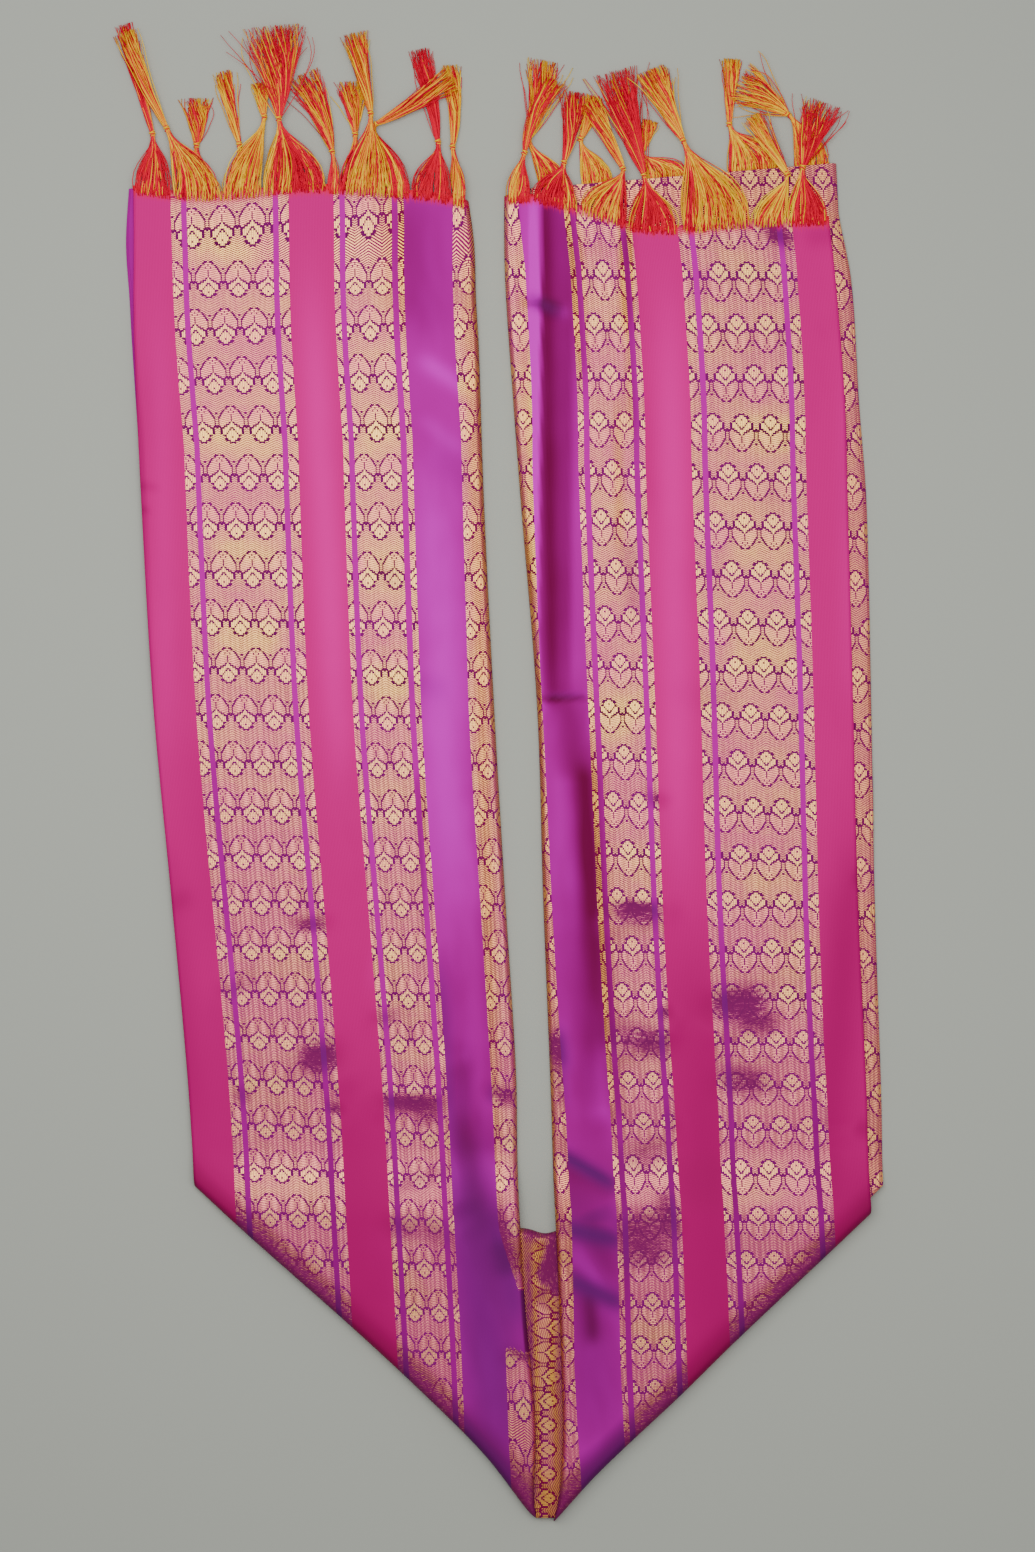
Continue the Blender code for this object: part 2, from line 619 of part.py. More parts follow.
def main():
    for old in list(bpy.data.objects):
        bpy.data.objects.remove(old)
    cloth = material("zari cloth", MAGENTA_SILK, 0.45, 0.2)
    layers = material("folded layers", PURPLE_SILK, 0.5, 0.2)
    yarns = {
        "red": material("red yarn", RED_YARN, 0.5, 0.0),
        "gold": material("gold yarn", GOLD_YARN, 0.4, 0.0),
    }
    for arm in (LEFT, RIGHT):
        arm_face(arm, cloth)
        arm_hidden(arm, layers)
    cross_face(cloth)
    cross_hidden(layers)
    for number, row in enumerate(TASSELS, start=1):
        tassel(number, row, yarns[row.yarn])


main()
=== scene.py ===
# %% [markdown]
# # A zari shawl laid in a V
#
# The real shawl is one long silk cloth with gold brocade stripes, folded lengthwise into a band
# and laid flat: down on the left, across behind, and up on the right. Its two short ends are
# knotted into tassels. A plain CAD model gives the folded stacks, and this script dresses them:
# fine cloth with soft creases, a woven pattern worked out by nodes, and tassels of single yarns.
#
# The first step loads the CAD model as a frame. Nothing in it is moved.

# %% Load the frame
import math
from collections import namedtuple

import bpy
import numpy as np
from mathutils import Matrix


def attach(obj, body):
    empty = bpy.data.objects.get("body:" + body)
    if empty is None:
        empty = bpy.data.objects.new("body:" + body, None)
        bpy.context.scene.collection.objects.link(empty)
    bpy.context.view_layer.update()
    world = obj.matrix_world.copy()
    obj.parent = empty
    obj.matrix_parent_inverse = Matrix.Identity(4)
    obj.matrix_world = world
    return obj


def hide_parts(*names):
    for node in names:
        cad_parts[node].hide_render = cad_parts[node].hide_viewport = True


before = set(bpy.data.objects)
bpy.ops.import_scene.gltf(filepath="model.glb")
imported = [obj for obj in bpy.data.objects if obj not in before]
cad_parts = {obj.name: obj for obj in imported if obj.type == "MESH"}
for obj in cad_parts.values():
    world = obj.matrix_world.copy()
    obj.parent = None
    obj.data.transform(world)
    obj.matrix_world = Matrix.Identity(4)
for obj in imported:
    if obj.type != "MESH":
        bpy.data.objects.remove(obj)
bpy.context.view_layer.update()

# %% [markdown]
# ## Places
#
# The shawl was measured in millimetres on its own plan, with y up the page. One function turns
# such a place into Blender's metres, with the same small shift that centres the CAD model. Many
# shapes here are smooth curves through a few measured rows, so one helper draws those curves.

# %% Millimetres to metres, and smooth curves through measured rows
MM = 0.001
SHIFT = np.array((-1.8, 3.3, 0.0))


def place(points):
    return (np.asarray(points, float) + SHIFT) * MM


def curve(points, where):
    """Values on a smooth curve through (place, value) pairs in rising order."""
    at, value = np.array(sorted(points), float).T
    straight = np.diff(value) / np.diff(at)
    across = (value[2:] - value[:-2]) / (at[2:] - at[:-2])
    slope = np.concatenate((straight[:1], across, straight[-1:]))
    where = np.asarray(where, float)
    k = np.clip(np.searchsorted(at, where, side="left") - 1, 0, len(at) - 2)
    width = at[k + 1] - at[k]
    s = (where - at[k]) / width
    inside = (value[k] * (1 + 2 * s) * (1 - s) ** 2 + slope[k] * width * s * (1 - s) ** 2
              + value[k + 1] * s * s * (3 - 2 * s) + slope[k + 1] * width * s * s * (s - 1))
    outside = value[k] + straight[k] * (where - at[k])
    return np.where((where <= at[0]) | (where >= at[-1]), outside, inside)


def smooth(value):
    value = np.clip(value, 0.0, 1.0)
    return value * value * (3 - 2 * value)


def joined(shares):
    """One share from many that overlap: 1 less what all of them leave."""
    return 1 - math.prod(1 - share for share in shares)


def table(kind, rows):
    """Named rows, one for each tuple."""
    return [kind(*row) for row in rows]


def link(name, data):
    made = bpy.data.objects.new(name, data)
    bpy.context.scene.collection.objects.link(made)
    return made


print("The plan's centre lies at", place((0, 0, 0)).tolist())

# %% [markdown]
# ## Camera, light and floor
#
# The photograph looks straight down on the shawl from a little over two metres. A portrait frame
# of 1035 x 1552 takes in 1164 mm from top to bottom, which fixes the focal length for the
# distance. Soft light falls from the upper left, as the shading of the folds shows, and a large
# weak light from the other side keeps the shadows open. The floor is plain and pale.

# %% Camera
VIEW_CENTRE = (13.1, -4.5)
VIEW_HEIGHT_MM = 1164.0
CAMERA_AWAY = 2300.0
CLOTH_TOP = 6.0
SENSOR = 36.0

camera = link("camera", bpy.data.cameras.new("camera"))
camera.location = place((*VIEW_CENTRE, CAMERA_AWAY))
camera.data.sensor_width = SENSOR
camera.data.lens = SENSOR * (CAMERA_AWAY - CLOTH_TOP) / VIEW_HEIGHT_MM
camera.data.clip_end = 20.0
bpy.context.scene.camera = camera
print("Lens:", round(camera.data.lens, 1), "mm")

# %% Lights
Lamp = namedtuple("Lamp", "name place size energy")
LAMPS = [
    Lamp("window light", (-330, 440, 1350), 1000, 13.6),
    Lamp("fill light", (360, 80, 1500), 950, 8.6),
]
SKY_STRENGTH = 0.50

for lamp in LAMPS:
    light = bpy.data.lights.new(lamp.name, "AREA")
    light.size = lamp.size * MM
    light.energy = lamp.energy
    holder = link(lamp.name, light)
    holder.location = place(lamp.place)
    holder.rotation_mode = "QUATERNION"
    holder.rotation_quaternion = (-holder.location).to_track_quat("-Z", "Y")

world = bpy.data.worlds.new("soft sky")
world.use_nodes = True
sky = world.node_tree.nodes["Background"]
sky.inputs["Color"].default_value = (1.0, 1.0, 1.0, 1.0)
sky.inputs["Strength"].default_value = SKY_STRENGTH
bpy.context.scene.world = world
print("Lamps:", [lamp.name for lamp in LAMPS])

# %% [markdown]
# ## Writing shaders as arithmetic
#
# A weave is arithmetic: stripes are comparisons and repeats are remainders. Joining dozens of
# Math nodes by hand hides that, so a small class wraps a node's output and lets Python's own
# operators add the nodes. Colours go through Mix, since a Math node would turn them grey.

# %% A socket that can be used in sums
class Value:
    """A number that varies over a surface."""

    def __init__(self, finish, socket):
        self.finish = finish
        self.socket = socket

    def math(self, operation, *others, **settings):
        return self.finish.math(operation, self, *others, **settings)

    def __add__(self, other):
        return self.math("ADD", other)

    __radd__ = __add__

    def __sub__(self, other):
        return self.math("SUBTRACT", other)

    def __rsub__(self, other):
        return self.finish.math("SUBTRACT", other, self)

    def __mul__(self, other):
        return self.math("MULTIPLY", other)

    __rmul__ = __mul__

    def __truediv__(self, other):
        return self.math("DIVIDE", other)

    def __abs__(self):
        return self.math("ABSOLUTE")

    def __lt__(self, other):
        return self.math("LESS_THAN", other)

    def __gt__(self, other):
        return self.math("GREATER_THAN", other)

    def remainder(self):
        return self.math("FRACT")

    def whole(self):
        return self.math("FLOOR")

    def clamped(self):
        return self.math("ADD", 0.0, use_clamp=True)

    def either(self, other):
        return self.math("MAXIMUM", other)

    def ramp(self, start, end):
        """0 at start and 1 at end, straight between."""
        return self.finish.math("MULTIPLY", self - start, 1.0 / (end - start), use_clamp=True)


class Finish:
    """One material, with a method that adds any node."""

    def __init__(self, name):
        self.material = bpy.data.materials.new(name)
        self.material.use_nodes = True
        self.tree = self.material.node_tree
        self.shader = self.tree.nodes["Principled BSDF"]

    def node(self, kind, settings=None, inputs=None):
        made = self.tree.nodes.new(kind)
        for key, setting in (settings or {}).items():
            if key == "line":
                draw_line(made, setting)
            else:
                setattr(made, key, setting)
        for key, value in (inputs or {}).items():
            self.feed(made.inputs[key], value)
        return made

    def feed(self, socket, value):
        if isinstance(value, Value):
            self.tree.links.new(value.socket, socket)
        elif isinstance(value, bpy.types.NodeSocket):
            self.tree.links.new(value, socket)
        elif isinstance(value, tuple):
            socket.default_value = (*value, 1.0)
        else:
            socket.default_value = value

    def math(self, operation, *values, **settings):
        settings["operation"] = operation
        made = self.node("ShaderNodeMath", settings, dict(enumerate(values)))
        return Value(self, made.outputs[0])

    def attribute(self, name):
        """The three numbers of a named vector attribute."""
        made = self.node("ShaderNodeAttribute", {"attribute_name": name})
        split = self.node("ShaderNodeSeparateXYZ", inputs={0: made.outputs["Vector"]})
        return [Value(self, socket) for socket in split.outputs]

    def vector(self, x, y, z=0.0):
        return self.node("ShaderNodeCombineXYZ", inputs={0: x, 1: y, 2: z}).outputs[0]

    def noise(self, vector, detail, roughness):
        made = self.node("ShaderNodeTexNoise", inputs={
            "Vector": vector, "Scale": 1.0, "Detail": detail, "Roughness": roughness})
        return Value(self, made.outputs[0])

    def mix(self, share, first, second):
        """A colour between two colours, each given as three numbers or as a socket."""
        made = self.node("ShaderNodeMix", {"data_type": "RGBA"}, {0: share, 6: first, 7: second})
        return made.outputs[2]

    def coats(self, colour, *coats):
        """A colour under coats, each of them a share and a colour."""
        for share, coat in coats:
            colour = self.mix(share, colour, coat)
        return colour

    def set(self, **values):
        for key, value in values.items():
            self.feed(self.shader.inputs[key.replace("_", " ")], value)


def draw_line(made, places):
    """Gives a Float Curve node straight runs through places from 0 to 1."""
    line = made.mapping.curves[0]
    while len(line.points) < len(places):
        line.points.new(0.5, 0.5)
    for point, spot in zip(line.points, places):
        point.location = spot
        point.handle_type = "VECTOR"
    made.mapping.update()


print("A value has", len(vars(Value)), "members, and a finish", len(vars(Finish)))

# %% Pale floor
FLOOR_HALF = 40.0
FLOOR_DROP = 0.0002

floor_mesh = bpy.data.meshes.new("floor")
floor_mesh.from_pydata([(x * FLOOR_HALF, y * FLOOR_HALF, -FLOOR_DROP)
                        for x, y in ((-1, -1), (1, -1), (1, 1), (-1, 1))], [], [(0, 1, 2, 3)])
floor = link("floor", floor_mesh)
floor_finish = Finish("pale floor")
floor_finish.set(Base_Color=(0.37, 0.385, 0.34), Roughness=0.9)
floor_mesh.materials.append(floor_finish.material)
print("The floor is", 2 * FLOOR_HALF, "m wide")

# %% [markdown]
# ## The outline of the folded band
#
# Each arm is a long band with a cut edge outside, the selvedge, and a soft fold inside. The band
# narrows and leans a little, so both edges are curves through measured rows. At its foot the band
# turns under itself on a slanting fold. These are the CAD model's own rows, so the fine cloth lies
# exactly on the solids that stand for it.

# %% Edges of the two arms
ArmRow = namedtuple("ArmRow", "y selvedge fold under")
LEFT_ROWS = table(ArmRow, [
    (440, -275.2, -25.5, -279.4), (396, -274.8, -19.5, -281.7), (354, -275.0, -18.0, -279.0),
    (319, -274.5, -16.0, -277.0), (201, -269.2, -12.0, -269.0), (48, -260.2, -4.5, -259.0),
    (-94, -246.8, 3.8, -245.5), (-227, -234.8, 12.0, -233.5), (-307, -229.5, 13.5, -228.0),
    (-404, -224.0, 19.1, -222.5), (-490, -220.0, 26.6, -218.5), (-546, -217.0, 25.6, -215.5),
    (-563, -216.0, 27.7, -214.5),
])
RIGHT_ROWS = table(ArmRow, [
    (455, 244.0, 4.0, 252.0), (422, 246.0, 3.0, 254.3), (366, 252.0, 3.8, 264.5),
    (277, 258.8, 9.8, 270.0), (201, 261.0, 15.5, 275.7), (48, 265.0, 27.7, 279.5),
    (-94, 268.5, 32.2, 282.0), (-247, 275.2, 38.2, 286.8), (-307, 276.8, 40.0, 287.8),
    (-378, 280.5, 43.4, 290.0), (-490, 286.0, 47.1, 295.0), (-537, 289.0, 45.0, 298.0),
    (-565, 291.0, 40.5, 300.0),
])
LEFT_TURN = [(-228.5, -313.5), (-187, -351.5), (-109.6, -420), (-52.7, -473), (-11.6, -514.5),
             (21.7, -557.3), (27.7, -562.5)]
RIGHT_TURN = [(40.5, -564.7), (75, -526.9), (135.3, -470), (175.5, -430.5), (249, -361.2),
              (278.2, -333.5)]
LEFT_END = [(-275, 438.5), (-222, 433.5), (-144, 439.5), (-99, 437), (-55, 433.5), (-25, 427.5)]
RIGHT_END = [(3, 431), (25, 431.5), (64.5, 422), (105, 409.5), (136, 408.7), (184, 413),
             (246, 415.5)]
LEFT_UNDER_END = [(-282, 437), (-25, 425)]
RIGHT_UNDER_END = [(3, 435), (255, 456)]

# %% [markdown]
# The pattern isn't spread evenly over a cloth that has been folded and handled: the stripes lean
# and the rows of motifs close up towards the foot. Two short tables say where the stripes' borders
# and some of the rows fall on each arm, and everything between follows smoothly. The rest of the
# script then speaks of places on the loom: how far across the cloth, and how far along it.

# %% Where stripes and rows fall on each arm
Stripes = namedtuple("Stripes", "y broad_start broad_end slim_start inner_start")
LEFT_STRIPES = table(Stripes, [
    (412, 39.4, 104.2, 158.2, 238.5), (240, 45.7, 108.0, 162.0, 242.2),
    (90, 43.9, 105.4, 159.0, 238.5), (-60, 42.0, 102.8, 155.6, 232.5),
    (-210, 42.0, 101.3, 153.8, 228.0), (-330, 42.0, 101.3, 153.5, 226.0),
])
RIGHT_STRIPES = table(Stripes, [
    (390, 39.7, 102.0, 157.5, 231.8), (240, 42.4, 104.3, 159.8, 235.9),
    (90, 41.2, 102.4, 157.5, 234.0), (-60, 40.9, 102.0, 155.3, 230.3),
    (-210, 42.0, 100.9, 153.8, 227.6), (-320, 39.8, 99.4, 150.0, 224.3),
    (-440, 39.8, 99.4, 152.0, 228.0),
])
WOVEN = Stripes(None, 43.9, 105.4, 159.0, 238.5)

MotifRow = namedtuple("MotifRow", "y number")
LEFT_MOTIFS = table(MotifRow, [
    (418.5, -1), (381.2, 0), (234, 4), (87.8, 8), (-54.8, 12), (-191.3, 16), (-255, 18), (-321, 20),
    (-457, 24),
])
RIGHT_MOTIFS = table(MotifRow, [
    (395, 0), (356.3, -1), (241.9, -4), (96.8, -8), (-46.3, -12), (-183.8, -16), (-315, -20),
    (-446, -24),
])
ROW_PITCH = 35.5
FAR = 1000

Skew = namedtuple("Skew", "y rise")
LEFT_SKEW = table(Skew, [
    (380, 0.0), (234, -5 / 140), (88, -10 / 140), (-60, -13 / 140), (-400, -13 / 140),
])
RIGHT_SKEW = table(Skew, [
    (380, 11 / 140), (60, 11 / 140), (-100, 8 / 140), (-400, 8 / 140),
])

Arm = namedtuple("Arm", "name side rows turn end under_end inward stripes motifs skew")
LEFT = Arm("left", 1.0, LEFT_ROWS, LEFT_TURN, LEFT_END, LEFT_UNDER_END, (0.69, 0.724),
           LEFT_STRIPES, LEFT_MOTIFS, LEFT_SKEW)
RIGHT = Arm("right", -1.0, RIGHT_ROWS, RIGHT_TURN, RIGHT_END, RIGHT_UNDER_END, (-0.697, 0.717),
            RIGHT_STRIPES, RIGHT_MOTIFS, RIGHT_SKEW)


# A small pleat in the left arm hides the brocade beside its inner fold, from TUCK_START on across
# the cloth: left of a slanting line that starts at TUCK_TOP, and down to TUCK_FOOT.
TUCK_TOP, TUCK_FOOT, TUCK_START = -343.0, -434.0, 237.0
# Rows of motifs lean about this line, in mm from the selvedge. The band's own lean is measured
# between its edges this far above and below a point.
LEAN_LINE = 74.0
LEAN_REACH = 8


def edge_x(arm, column, y):
    return curve([(row.y, getattr(row, column)) for row in arm.rows], y)


def table_at(rows, column, y):
    """A column of a table with rows at falling y, read at any y."""
    return np.interp(y, *zip(*sorted((row.y, getattr(row, column)) for row in rows)))


def row_number(arm, y):
    """How many motif rows along the cloth, with straight runs on past the ends of the table."""
    at, number = np.array(sorted(arm.motifs), float).T
    slope = np.diff(number) / np.diff(at)
    at = np.concatenate((at[:1] - FAR, at, at[-1:] + FAR))
    number = np.concatenate((number[:1] - FAR * slope[0], number, number[-1:] + FAR * slope[-1]))
    return np.interp(y, at, number)


def loom_place(arm, x, y, beyond=0.0):
    """Places across and along the cloth of an arm's points. beyond is cloth round a fold."""
    lean = sum(edge_x(arm, edge, y - LEAN_REACH) - edge_x(arm, edge, y + LEAN_REACH)
               for edge in ("selvedge", "fold"))
    turned = np.arctan(lean / (4 * LEAN_REACH))
    out = (x - edge_x(arm, "selvedge", y)) * arm.side * np.cos(turned)
    at = y - arm.side * out * np.sin(turned)
    out = out + beyond
    marks = [table_at(arm.stripes, column, at) for column in Stripes._fields[1:]]
    across = WOVEN[1] + (out - marks[0])
    for k in range(3):
        stretch = (WOVEN[k + 2] - WOVEN[k + 1]) / (marks[k + 1] - marks[k])
        across = np.where(out > marks[k], WOVEN[k + 1] + (out - marks[k]) * stretch, across)
    across = np.where(out > marks[3], WOVEN[4] + out - marks[3], across)
    if arm is LEFT:
        tucked = smooth((0.36 * (TUCK_TOP - y) - x + 1.0) / 4.0)
        tucked = tucked * smooth((y - TUCK_FOOT + 0.4 * (x - 6.0)) / 3.0)
        across = across - np.maximum(across - TUCK_START, 0.0) * tucked
    along = row_number(arm, at - table_at(arm.skew, "rise", at) * (out - LEAN_LINE)) * ROW_PITCH
    return across, along


print("Across and along at the left arm's middle:", np.round(loom_place(LEFT, -140.0, 90.0), 1))

# %% [markdown]
# ## The lie of the cloth
#
# The face cloth of an arm rises from the selvedge to the long inner fold, climbs over the cross
# stretch near the foot, and rolls round the fold and the slanting turn. Those are the CAD solid's
# heights. On top of them come the largest soft ridges, which the solid has too, and then the
# smaller creases, which only the fine cloth shows.

# %% Heights of the stack
CROSS_NORTH = -344.0
CROSS_SOUTH = -562.0
CROSS_HEIGHT = 8.0
GAP = 0.3
CLIMB_START = 62.0
CLIMB_END = 8.0
FOLD_RADIUS = 4.0
TURN_RADIUS = 7.0
CROSS_RADIUS = 4.0
UNDER_TURN_INSET = 9.2
LAYERS_HEIGHT = 3.6
CLIMB_LAG = 7.0
CLOTH_THICKNESS = 0.8
# Height of the face cloth by its share of the way from the selvedge to the fold.
STACK = [(0.0, 5.3), (0.5, 6.4), (1.0, 7.6)]

Ridge = namedtuple("Ridge", "x1 y1 x2 y2 half_width height")
RIDGES = {
    "left": table(Ridge, [
        (-40, -226, -28, -320, 11, 2.4), (-150, -218, -122, -230, 12, 1.8),
        (-92, -252, -50, -246, 9, 1.8), (-30, -350, 4, -430, 11, 2.0),
    ]),
    "right": table(Ridge, [
        (28, 420, 33, 55, 8, 2.8), (57, -10, 82, -250, 12, 3.0), (84, -114, 122, -108, 10, 2.0),
        (90, -210, 128, -196, 10, 1.8), (158, -196, 198, -180, 12, 2.0),
        (60, -345, 84, -395, 12, 2.0),
    ]),
}


def turn_x(arm, y, inset):
    """The x of the slanting turn at y, moved into the arm by inset."""
    turn = [(spot[1], spot[0]) for spot in arm.turn]
    return curve(turn, y - arm.inward[1] * inset) + arm.inward[0] * inset


def lifted(y):
    """How far the band is lifted off the floor to climb over the cross stretch."""
    climb = (CLIMB_START - (y - CROSS_NORTH)) / (CLIMB_START - CLIMB_END)
    return (CROSS_HEIGHT + GAP) * smooth(climb)


def away_from(ridge, x, y):
    """Distance from a ridge's line as a share of its half width."""
    run_x, run_y = ridge.x2 - ridge.x1, ridge.y2 - ridge.y1
    share = ((x - ridge.x1) * run_x + (y - ridge.y1) * run_y) / (run_x ** 2 + run_y ** 2 + 1e-9)
    share = np.clip(share, 0.0, 1.0)
    return np.hypot(x - ridge.x1 - share * run_x, y - ridge.y1 - share * run_y) / ridge.half_width


def ridge_height(ridges, x, y):
    return sum(ridge.height * np.exp(-away_from(ridge, x, y) ** 2) for ridge in ridges)


print("The band is lifted", float(lifted(-380.0)), "mm where it lies on the cross stretch")

# %% [markdown]
# Creases in silk are sharp on one side and soft on the other. Where the cloth dips away from the
# light, painted shade puts the gold out and shows the ground dark purple. Each crease below is a
# line with a half width, a height, which is negative for a trough, and the share of its gold that
# its painted shade hides.
# They are placed where the cloth shows them.

# %% Small creases and dips
Crease = namedtuple("Crease", "x1 y1 x2 y2 half_width height shade")
CREASES = {
    "left": table(Crease, [
        (-153, -117, -131, -115, 7, -0.9, 0.75), (-146, -216, -124, -214, 13, -1.2, 0.95),
        (-140, -222, -130, -214, 8, -0.4, 0.4), (-90, -249, -46, -250, 7.5, -1.1, 1),
        (-60, -262, -48, -262, 8, -0.6, 0.55), (-248, -100, -234, -98, 8, -0.7, 0.5),
        (-92, -188, -78, -184, 6, -0.6, 0.55), (-127, -253, -119, -255, 5, -0.5, 0.8),
        (-4, -243, 8, -247, 8, -0.8, 0.75), (-205, -168, -188, -158, 7, -0.6, 0.5),
        (-197, -246, -190, -244, 7, -0.5, 0.55), (-60, -10, -58, -160, 3, -0.9, 0.3),
        (-62, -20, -57, -190, 7, -0.3, 0), (-30, -214, -26, -330, 9, -1.1, 0.35),
        (-76, -312, -40, -300, 8, -0.6, 0.45), (-64, -344, -30, -350, 11, -0.8, 0.5),
        (-84, -338, -70, -346, 9, -0.4, 0.5), (7, -433, 22, -440, 3.6, -0.2, 0.9),
        (-8, -330, 6, -380, 14, -0.5, 0.9), (-40, -372, -6, -432, 12, -0.7, 0.25),
        (-88, 148, -76, 140, 9, -0.3, 0.3), (-203, 138, -180, 140, 14, -0.3, 0.15),
        (-12, 210, -45, 240, 16, -0.5, 0.15), (-130, 30, -110, 40, 12, -0.3, 0),
        (-75, 66, -45, 60, 10, -0.4, 0.2), (-190, 60, -150, 40, 18, -0.3, 0),
    ]),
    "right": table(Crease, [
        (22, 352, 44, 344, 6, -1.4, 0.6), (34, 55, 64, 56, 3, -0.7, 0.35),
        (88, -104, 120, -105, 6.5, -1.1, 1), (90, -111, 116, -112, 8, -0.5, 0.55),
        (92, -200, 126, -206, 13, -1.1, 0.75), (122, -183, 127, -181, 6, -0.5, 0.7),
        (162, -176, 196, -172, 13, -1.3, 0.95), (180, -186, 204, -192, 10, -0.5, 0.7),
        (170, -232, 196, -236, 13, -1, 0.75), (206, -240, 214, -242, 6, -0.3, 0.35),
        (98, -292, 120, -286, 14, -0.8, 0.5), (90, -348, 118, -340, 16, -1, 0.75),
        (98, -366, 124, -360, 14, -0.7, 0.65), (124, -320, 130, -345, 8, -0.5, 0.75),
        (44, -290, 84, -310, 8, -0.9, 0.45), (44, -345, 82, -330, 8, -0.9, 0.6),
        (52, -372, 84, -394, 9, -0.9, 0.5), (42, -198, 45, -222, 8, -0.4, 0.9),
        (44, -228, 46, -250, 6, -0.4, 0.5), (96, 180, 104, 110, 9, -0.7, 0.35),
        (128, -258, 131, -270, 5, -0.3, 0.4), (112, -20, 124, -24, 6, -0.5, 0.6),
        (150, 150, 176, 140, 16, -0.3, 0.15), (196, 210, 210, 206, 14, -0.3, 0.2),
        (140, 58, 176, 52, 12, -0.35, 0.25), (240, -268, 276, -266, 4, -0.5, 0),
        (202, 406, 216, 398, 8, -0.6, 0.95), (262, 350, 250, 330, 8, -0.5, 0.15),
        (256, 60, 262, 20, 9, -0.5, 0.1),
    ]),
}
print("Creases:", {name: len(rows) for name, rows in CREASES.items()})

# %% Painted light and shade on the silk, by its lie
# Each row is a line, how far the change reaches, how strong it is, and on which side (1 right, -1
# left, 0 both). All four kinds are painted light and shade. "dim" is painted shade, crimson and
# dark. "lit" is painted light: lilac on violet and brighter on magenta and gold. "blue" is the
# purple of cloth in painted shade, and "low" is painted shade that quiets the plain stripes and the
# gold, most of all towards the foot.
Cast = namedtuple("Cast", "x1 y1 x2 y2 reach amount side", defaults=(0,))
CASTS = {"left": {}, "right": {}, "cross": {}}
CASTS["left"]["dim"] = table(Cast, [
    (-72, 430, -58, 335, 26, 0.5), (-33, -140, -27, -225, 13, 0.3),
    (-24, -215, -18, -268, 9, 0.55), (-26, -262, -14, -345, 12, 0.7),
    (-60, -8, -56, -110, 3, 0.45), (2, -356, 6, -372, 11, 0.9), (-280, 214, -258, 212, 4, 0.3),
    (-272, -64, -256, -66, 6, 0.4), (-276, 196, -264, 195, 3, 0.35), (-25, 440, -3, -320, 8, 0.4),
])
CASTS["left"]["lit"] = table(Cast, [
    (-56, 306, -24, 284, 7, 0.8), (-58, 262, -30, 240, 6, 0.35), (-50, 225, -38, -80, 17, 0.78),
    (-44, -395, -14, -470, 6, 0.18), (-12, -425, 0, -495, 8, 0.4), (-141, 350, -120, 10, 13, 0.95),
    (-256, 330, -250, 20, 10, 0.35), (-228, 395, -190, 390, 17, 0.55),
    (-214, 250, -172, 246, 15, 0.75), (-208, 164, -168, 160, 12, 0.8),
    (-208, 97, -172, 95, 15, 0.7), (-96, 258, -82, 258, 17, 0.7), (-94, 152, -80, 152, 17, 0.85),
    (-92, 62, -78, 60, 18, 0.85), (-90, 352, -84, 352, 14, 0.4),
    (-160, -300, -120, -330, 16, 0.35), (-92, -350, -66, -400, 15, 0.75),
    (-196, -22, -160, -26, 12, 0.3), (-92, -150, -78, -152, 16, 0.35),
])
CASTS["left"]["blue"] = table(Cast, [
    (-48, -150, -38, -275, 9, 0.6), (-30, -290, 4, -520, 34, 0.74), (-2, -330, 14, -410, 12, 0.6),
])
CASTS["left"]["low"] = table(Cast, [
    (-290, -400, 60, -400, 220, 0.7), (-264, -70, -238, -262, 20, 0.9),
    (-128, -265, -80, -520, 46, 0.85), (-272, 160, -268, 300, 12, 0.25),
    (-206, 325, -176, 322, 16, 0.5), (-210, 130, -170, 128, 7, 0.8),
    (-200, 10, -190, -120, 40, 0.55), (-190, -180, -180, -250, 30, 0.45),
])
CASTS["right"]["dim"] = table(Cast, [
    (32.2, 440, 29.2, 62, 28, 0.6, 1), (20, 350, 45, 349, 4, 0.6), (30, 52, 66, 54, 2.4, 0.5),
    (48, 60, 62, -20, 13, 0.55), (61, -10, 70, -256, 12, 1), (50, 40, 66, -420, 34, 0.25),
    (67, -392, 69, -424, 7, 0.9), (88, 280, 90, 160, 5, 0.35), (57, 410, 62, 290, 6, 0.5),
    (268, -80, 282, -84, 8, 0.6), (270, -268, 284, -272, 8, 0.5), (94, 420, 96, 330, 6, 0.7),
    (97, 330, 99, 250, 5, 0.35), (232, 400, 262, 404, 9, 0.35), (60, -330, 74, -480, 22, 0.25),
    (14, 440, 36, -300, 6, 0.3),
])
CASTS["right"]["lit"] = table(Cast, [
    (31, 440, 28, 120, 10, 0.85, -1), (24, 338, 30, 338, 5, 0.4), (38, -20, 48, -230, 6, 0.1),
    (52, -318, 78, -334, 6, 0.2), (127, 340, 135, -60, 14, 0.9), (262, 300, 262, 60, 9, 0.3),
    (170, 376, 200, 372, 17, 0.6), (178, 254, 214, 252, 16, 0.75), (180, 170, 214, 166, 18, 0.85),
    (180, 92, 214, 88, 20, 0.9), (190, -82, 222, -84, 17, 0.6), (76, 40, 92, 38, 18, 0.75),
    (70, 353, 86, 352, 20, 0.45), (84, 180, 96, 176, 22, 0.35), (104, -410, 128, -424, 16, 0.65),
    (96, -70, 112, -72, 14, 0.35), (170, -330, 200, -300, 16, 0.35), (186, 10, 216, 8, 14, 0.35),
])
CASTS["right"]["blue"] = table(Cast, [
    (41, -285, 86, -311, 6, 0.95), (44, -341, 90, -352, 8, 0.9), (50, -380, 92, -399, 8, 0.85),
    (56, -320, 72, -500, 34, 0.3),
])
